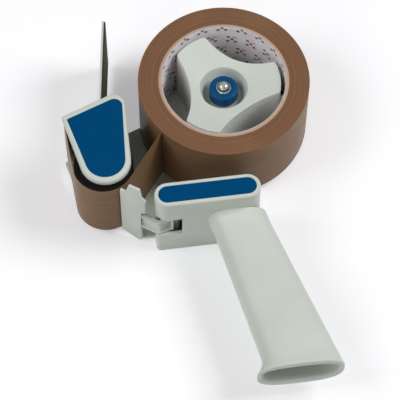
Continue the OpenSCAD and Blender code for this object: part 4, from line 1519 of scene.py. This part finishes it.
@dataclass(frozen=True)
class Studio:
    """Floor, light and camera."""

    place: Triple = (-101.81, -633.94, 1111.08)
    azimuth: float = -7.859
    elevation: float = 62.135
    roll: float = 0.386
    lens: float = 180.0
    sensor: float = 36.0
    ambient: float = 0.11
    distance: float = 1.5
    glow: float = 0.38
    lamp_size: float = 0.7
    floor_size: float = 8.0
    floor_z: float = -0.1

    def camera(self) -> None:
        """Camera at the photograph's angle."""
        az, roll = math.radians(self.azimuth), math.radians(self.roll)
        back = side(self.azimuth, self.elevation)
        right = Vector((math.cos(az), math.sin(az), 0))
        up = back.cross(right)
        tilted = math.cos(roll) * right + math.sin(roll) * up
        raised = -math.sin(roll) * right + math.cos(roll) * up
        data = bpy.data.cameras.new("camera")
        data.lens, data.sensor_width, data.clip_end = self.lens, self.sensor, 20.0
        camera = bpy.data.objects.new("camera", data)
        bpy.context.scene.collection.objects.link(camera)
        turn = Matrix((tilted, raised, back)).transposed().to_4x4()
        camera.matrix_world = Matrix.Translation(Vector(self.place) * MM) @ turn
        bpy.context.scene.camera = camera

    def lamp(self, name: str, azimuth: float, elevation: float, power: float) -> None:
        """Soft square lamp aimed at the object.

        Args:
            name: the lamp's name.
            azimuth: side that it stands on in degrees; 0 is the side of the handle's end, 90 is +X.
            elevation: height above the floor in degrees.
            power: in watts.
        """
        way = side(azimuth, elevation)
        data = bpy.data.lights.new(name, "AREA")
        data.shape, data.size, data.energy = "SQUARE", self.lamp_size, power
        lamp = bpy.data.objects.new(name, data)
        bpy.context.scene.collection.objects.link(lamp)
        turn = (-way).to_track_quat("-Z", "Y").to_matrix().to_4x4()
        lamp.matrix_world = Matrix.Translation(way * self.distance) @ turn

    def world(self) -> None:
        """White background with a modest ambient light."""
        world = bpy.data.worlds.new("studio")
        bpy.context.scene.world = world
        world.use_nodes = True
        tree = world.node_tree
        tree.nodes.clear()
        mix = tree.nodes.new("ShaderNodeMixShader")
        tree.links.new(seen_directly(tree), mix.inputs[0])
        lights = (((0.97, 0.98, 1.0, 1.0), self.ambient), ((1.0, 1.0, 1.0, 1.0), 1.0))
        for socket, (color, strength) in zip(mix.inputs[1:], lights):
            light = tree.nodes.new("ShaderNodeBackground")
            light.inputs["Color"].default_value = color
            light.inputs["Strength"].default_value = strength
            tree.links.new(light.outputs[0], socket)
        out = tree.nodes.new("ShaderNodeOutputWorld")
        tree.links.new(mix.outputs[0], out.inputs["Surface"])

    def floor(self) -> None:
        """Plain pale floor that is white where it is lit and keeps the shadow."""
        deselect()
        bpy.ops.mesh.primitive_plane_add(size=self.floor_size, location=(0, 0, 0))
        floor = bpy.context.active_object
        floor.name = "floor"
        for vertex in floor.data.vertices:
            vertex.co.z = self.floor_z * MM
        g = Graph("floor_paper")
        g.set(Base_Color=(0.80, 0.80, 0.81, 1.0), Roughness=0.9)
        g.set(Specular_IOR_Level=0.0)
        strength = g.math("MULTIPLY", seen_directly(g.tree), self.glow)
        glow = g.add("Emission", {"Color": (0.98, 0.97, 1.0, 1.0), "Strength": strength})
        both = g.add("AddShader", {0: g.shader.outputs[0], 1: glow.outputs[0]})
        g.tree.links.new(both.outputs[0], g.out.inputs["Surface"])
        floor.data.materials.append(g.material)

    def build(self) -> None:
        """Sets the whole studio up."""
        self.camera()
        self.world()
        self.floor()
        self.lamp("key", 88, 50, 12.8)
        self.lamp("fill", 275, 50, 6.8)
        self.lamp("front", 320, 25, 3.4)
        bpy.context.scene.view_settings.view_transform = "Standard"


def main() -> None:
    """Builds the studio and every sub-assembly in order."""
    logging.basicConfig(level=logging.INFO, format="%(message)s")
    Studio().build()
    finishes = Finishes.make()
    CarriedNodes(finishes).build()
    flap_axis, lever_axis = LAYOUT.edge_place(25, -0.7), Vector((-40.0, -74.0))
    edge_a = LAYOUT.edge_a
    for part in (
        FrontCover(finishes), GripHousing(finishes), Handle(finishes), RollHub(finishes),
        TensionKnob(finishes), TapeRoll(finishes), TapeWeb(finishes), GuideRoller(finishes),
        SoftenedNode("plate_moulding", "back_plate", finishes.white, Body.FRAME, Slot.WHITE, 0.5),
        SoftenedNode("bridge_moulding", "bridge", finishes.white, Body.FRAME, Slot.WHITE, 0.3),
        SoftenedNode("lever_moulding", "retainer_lever", finishes.white, Body.LEVER, Slot.WHITE, 0.3),
        SoftenedNode("flap_moulding", "flap_carrier", finishes.white, Body.FLAP, Slot.WHITE, 0.2),
        SoftenedNode("flap_pad", "wiper_pad", finishes.pad, Body.FLAP, Slot.RUBBER, 0.2),
        SoftenedNode("blade_steel", "cutter_blade", finishes.steel, Body.FRAME, Slot.STEEL, 0.06),
        CrossScrews("plate_screw_set", "plate_screws", finishes.steel, Vector((0, 0, -1))),
        CrossScrews("handle_screw_set", "handle_screws", finishes.steel, Vector((0, -1, 0))),
        CrossScrews("blade_screw_set", "blade_screws", finishes.steel, unit(edge_a + 90).to_3d(), 0.45),
        CoilSpring("flap_coil", "flap_spring", finishes.steel, flap_axis, edge_a, 25.2, 1.4, 0.5, 9, 11.6),
        CoilSpring("lever_coil", "retainer_spring", finishes.steel, lever_axis, 90, 35.5, 2.4, 0.8, 4, 6),
    ):
        part.build()
        LOG.info("%s built", type(part).__name__)


if __name__ == "__main__":
    main()
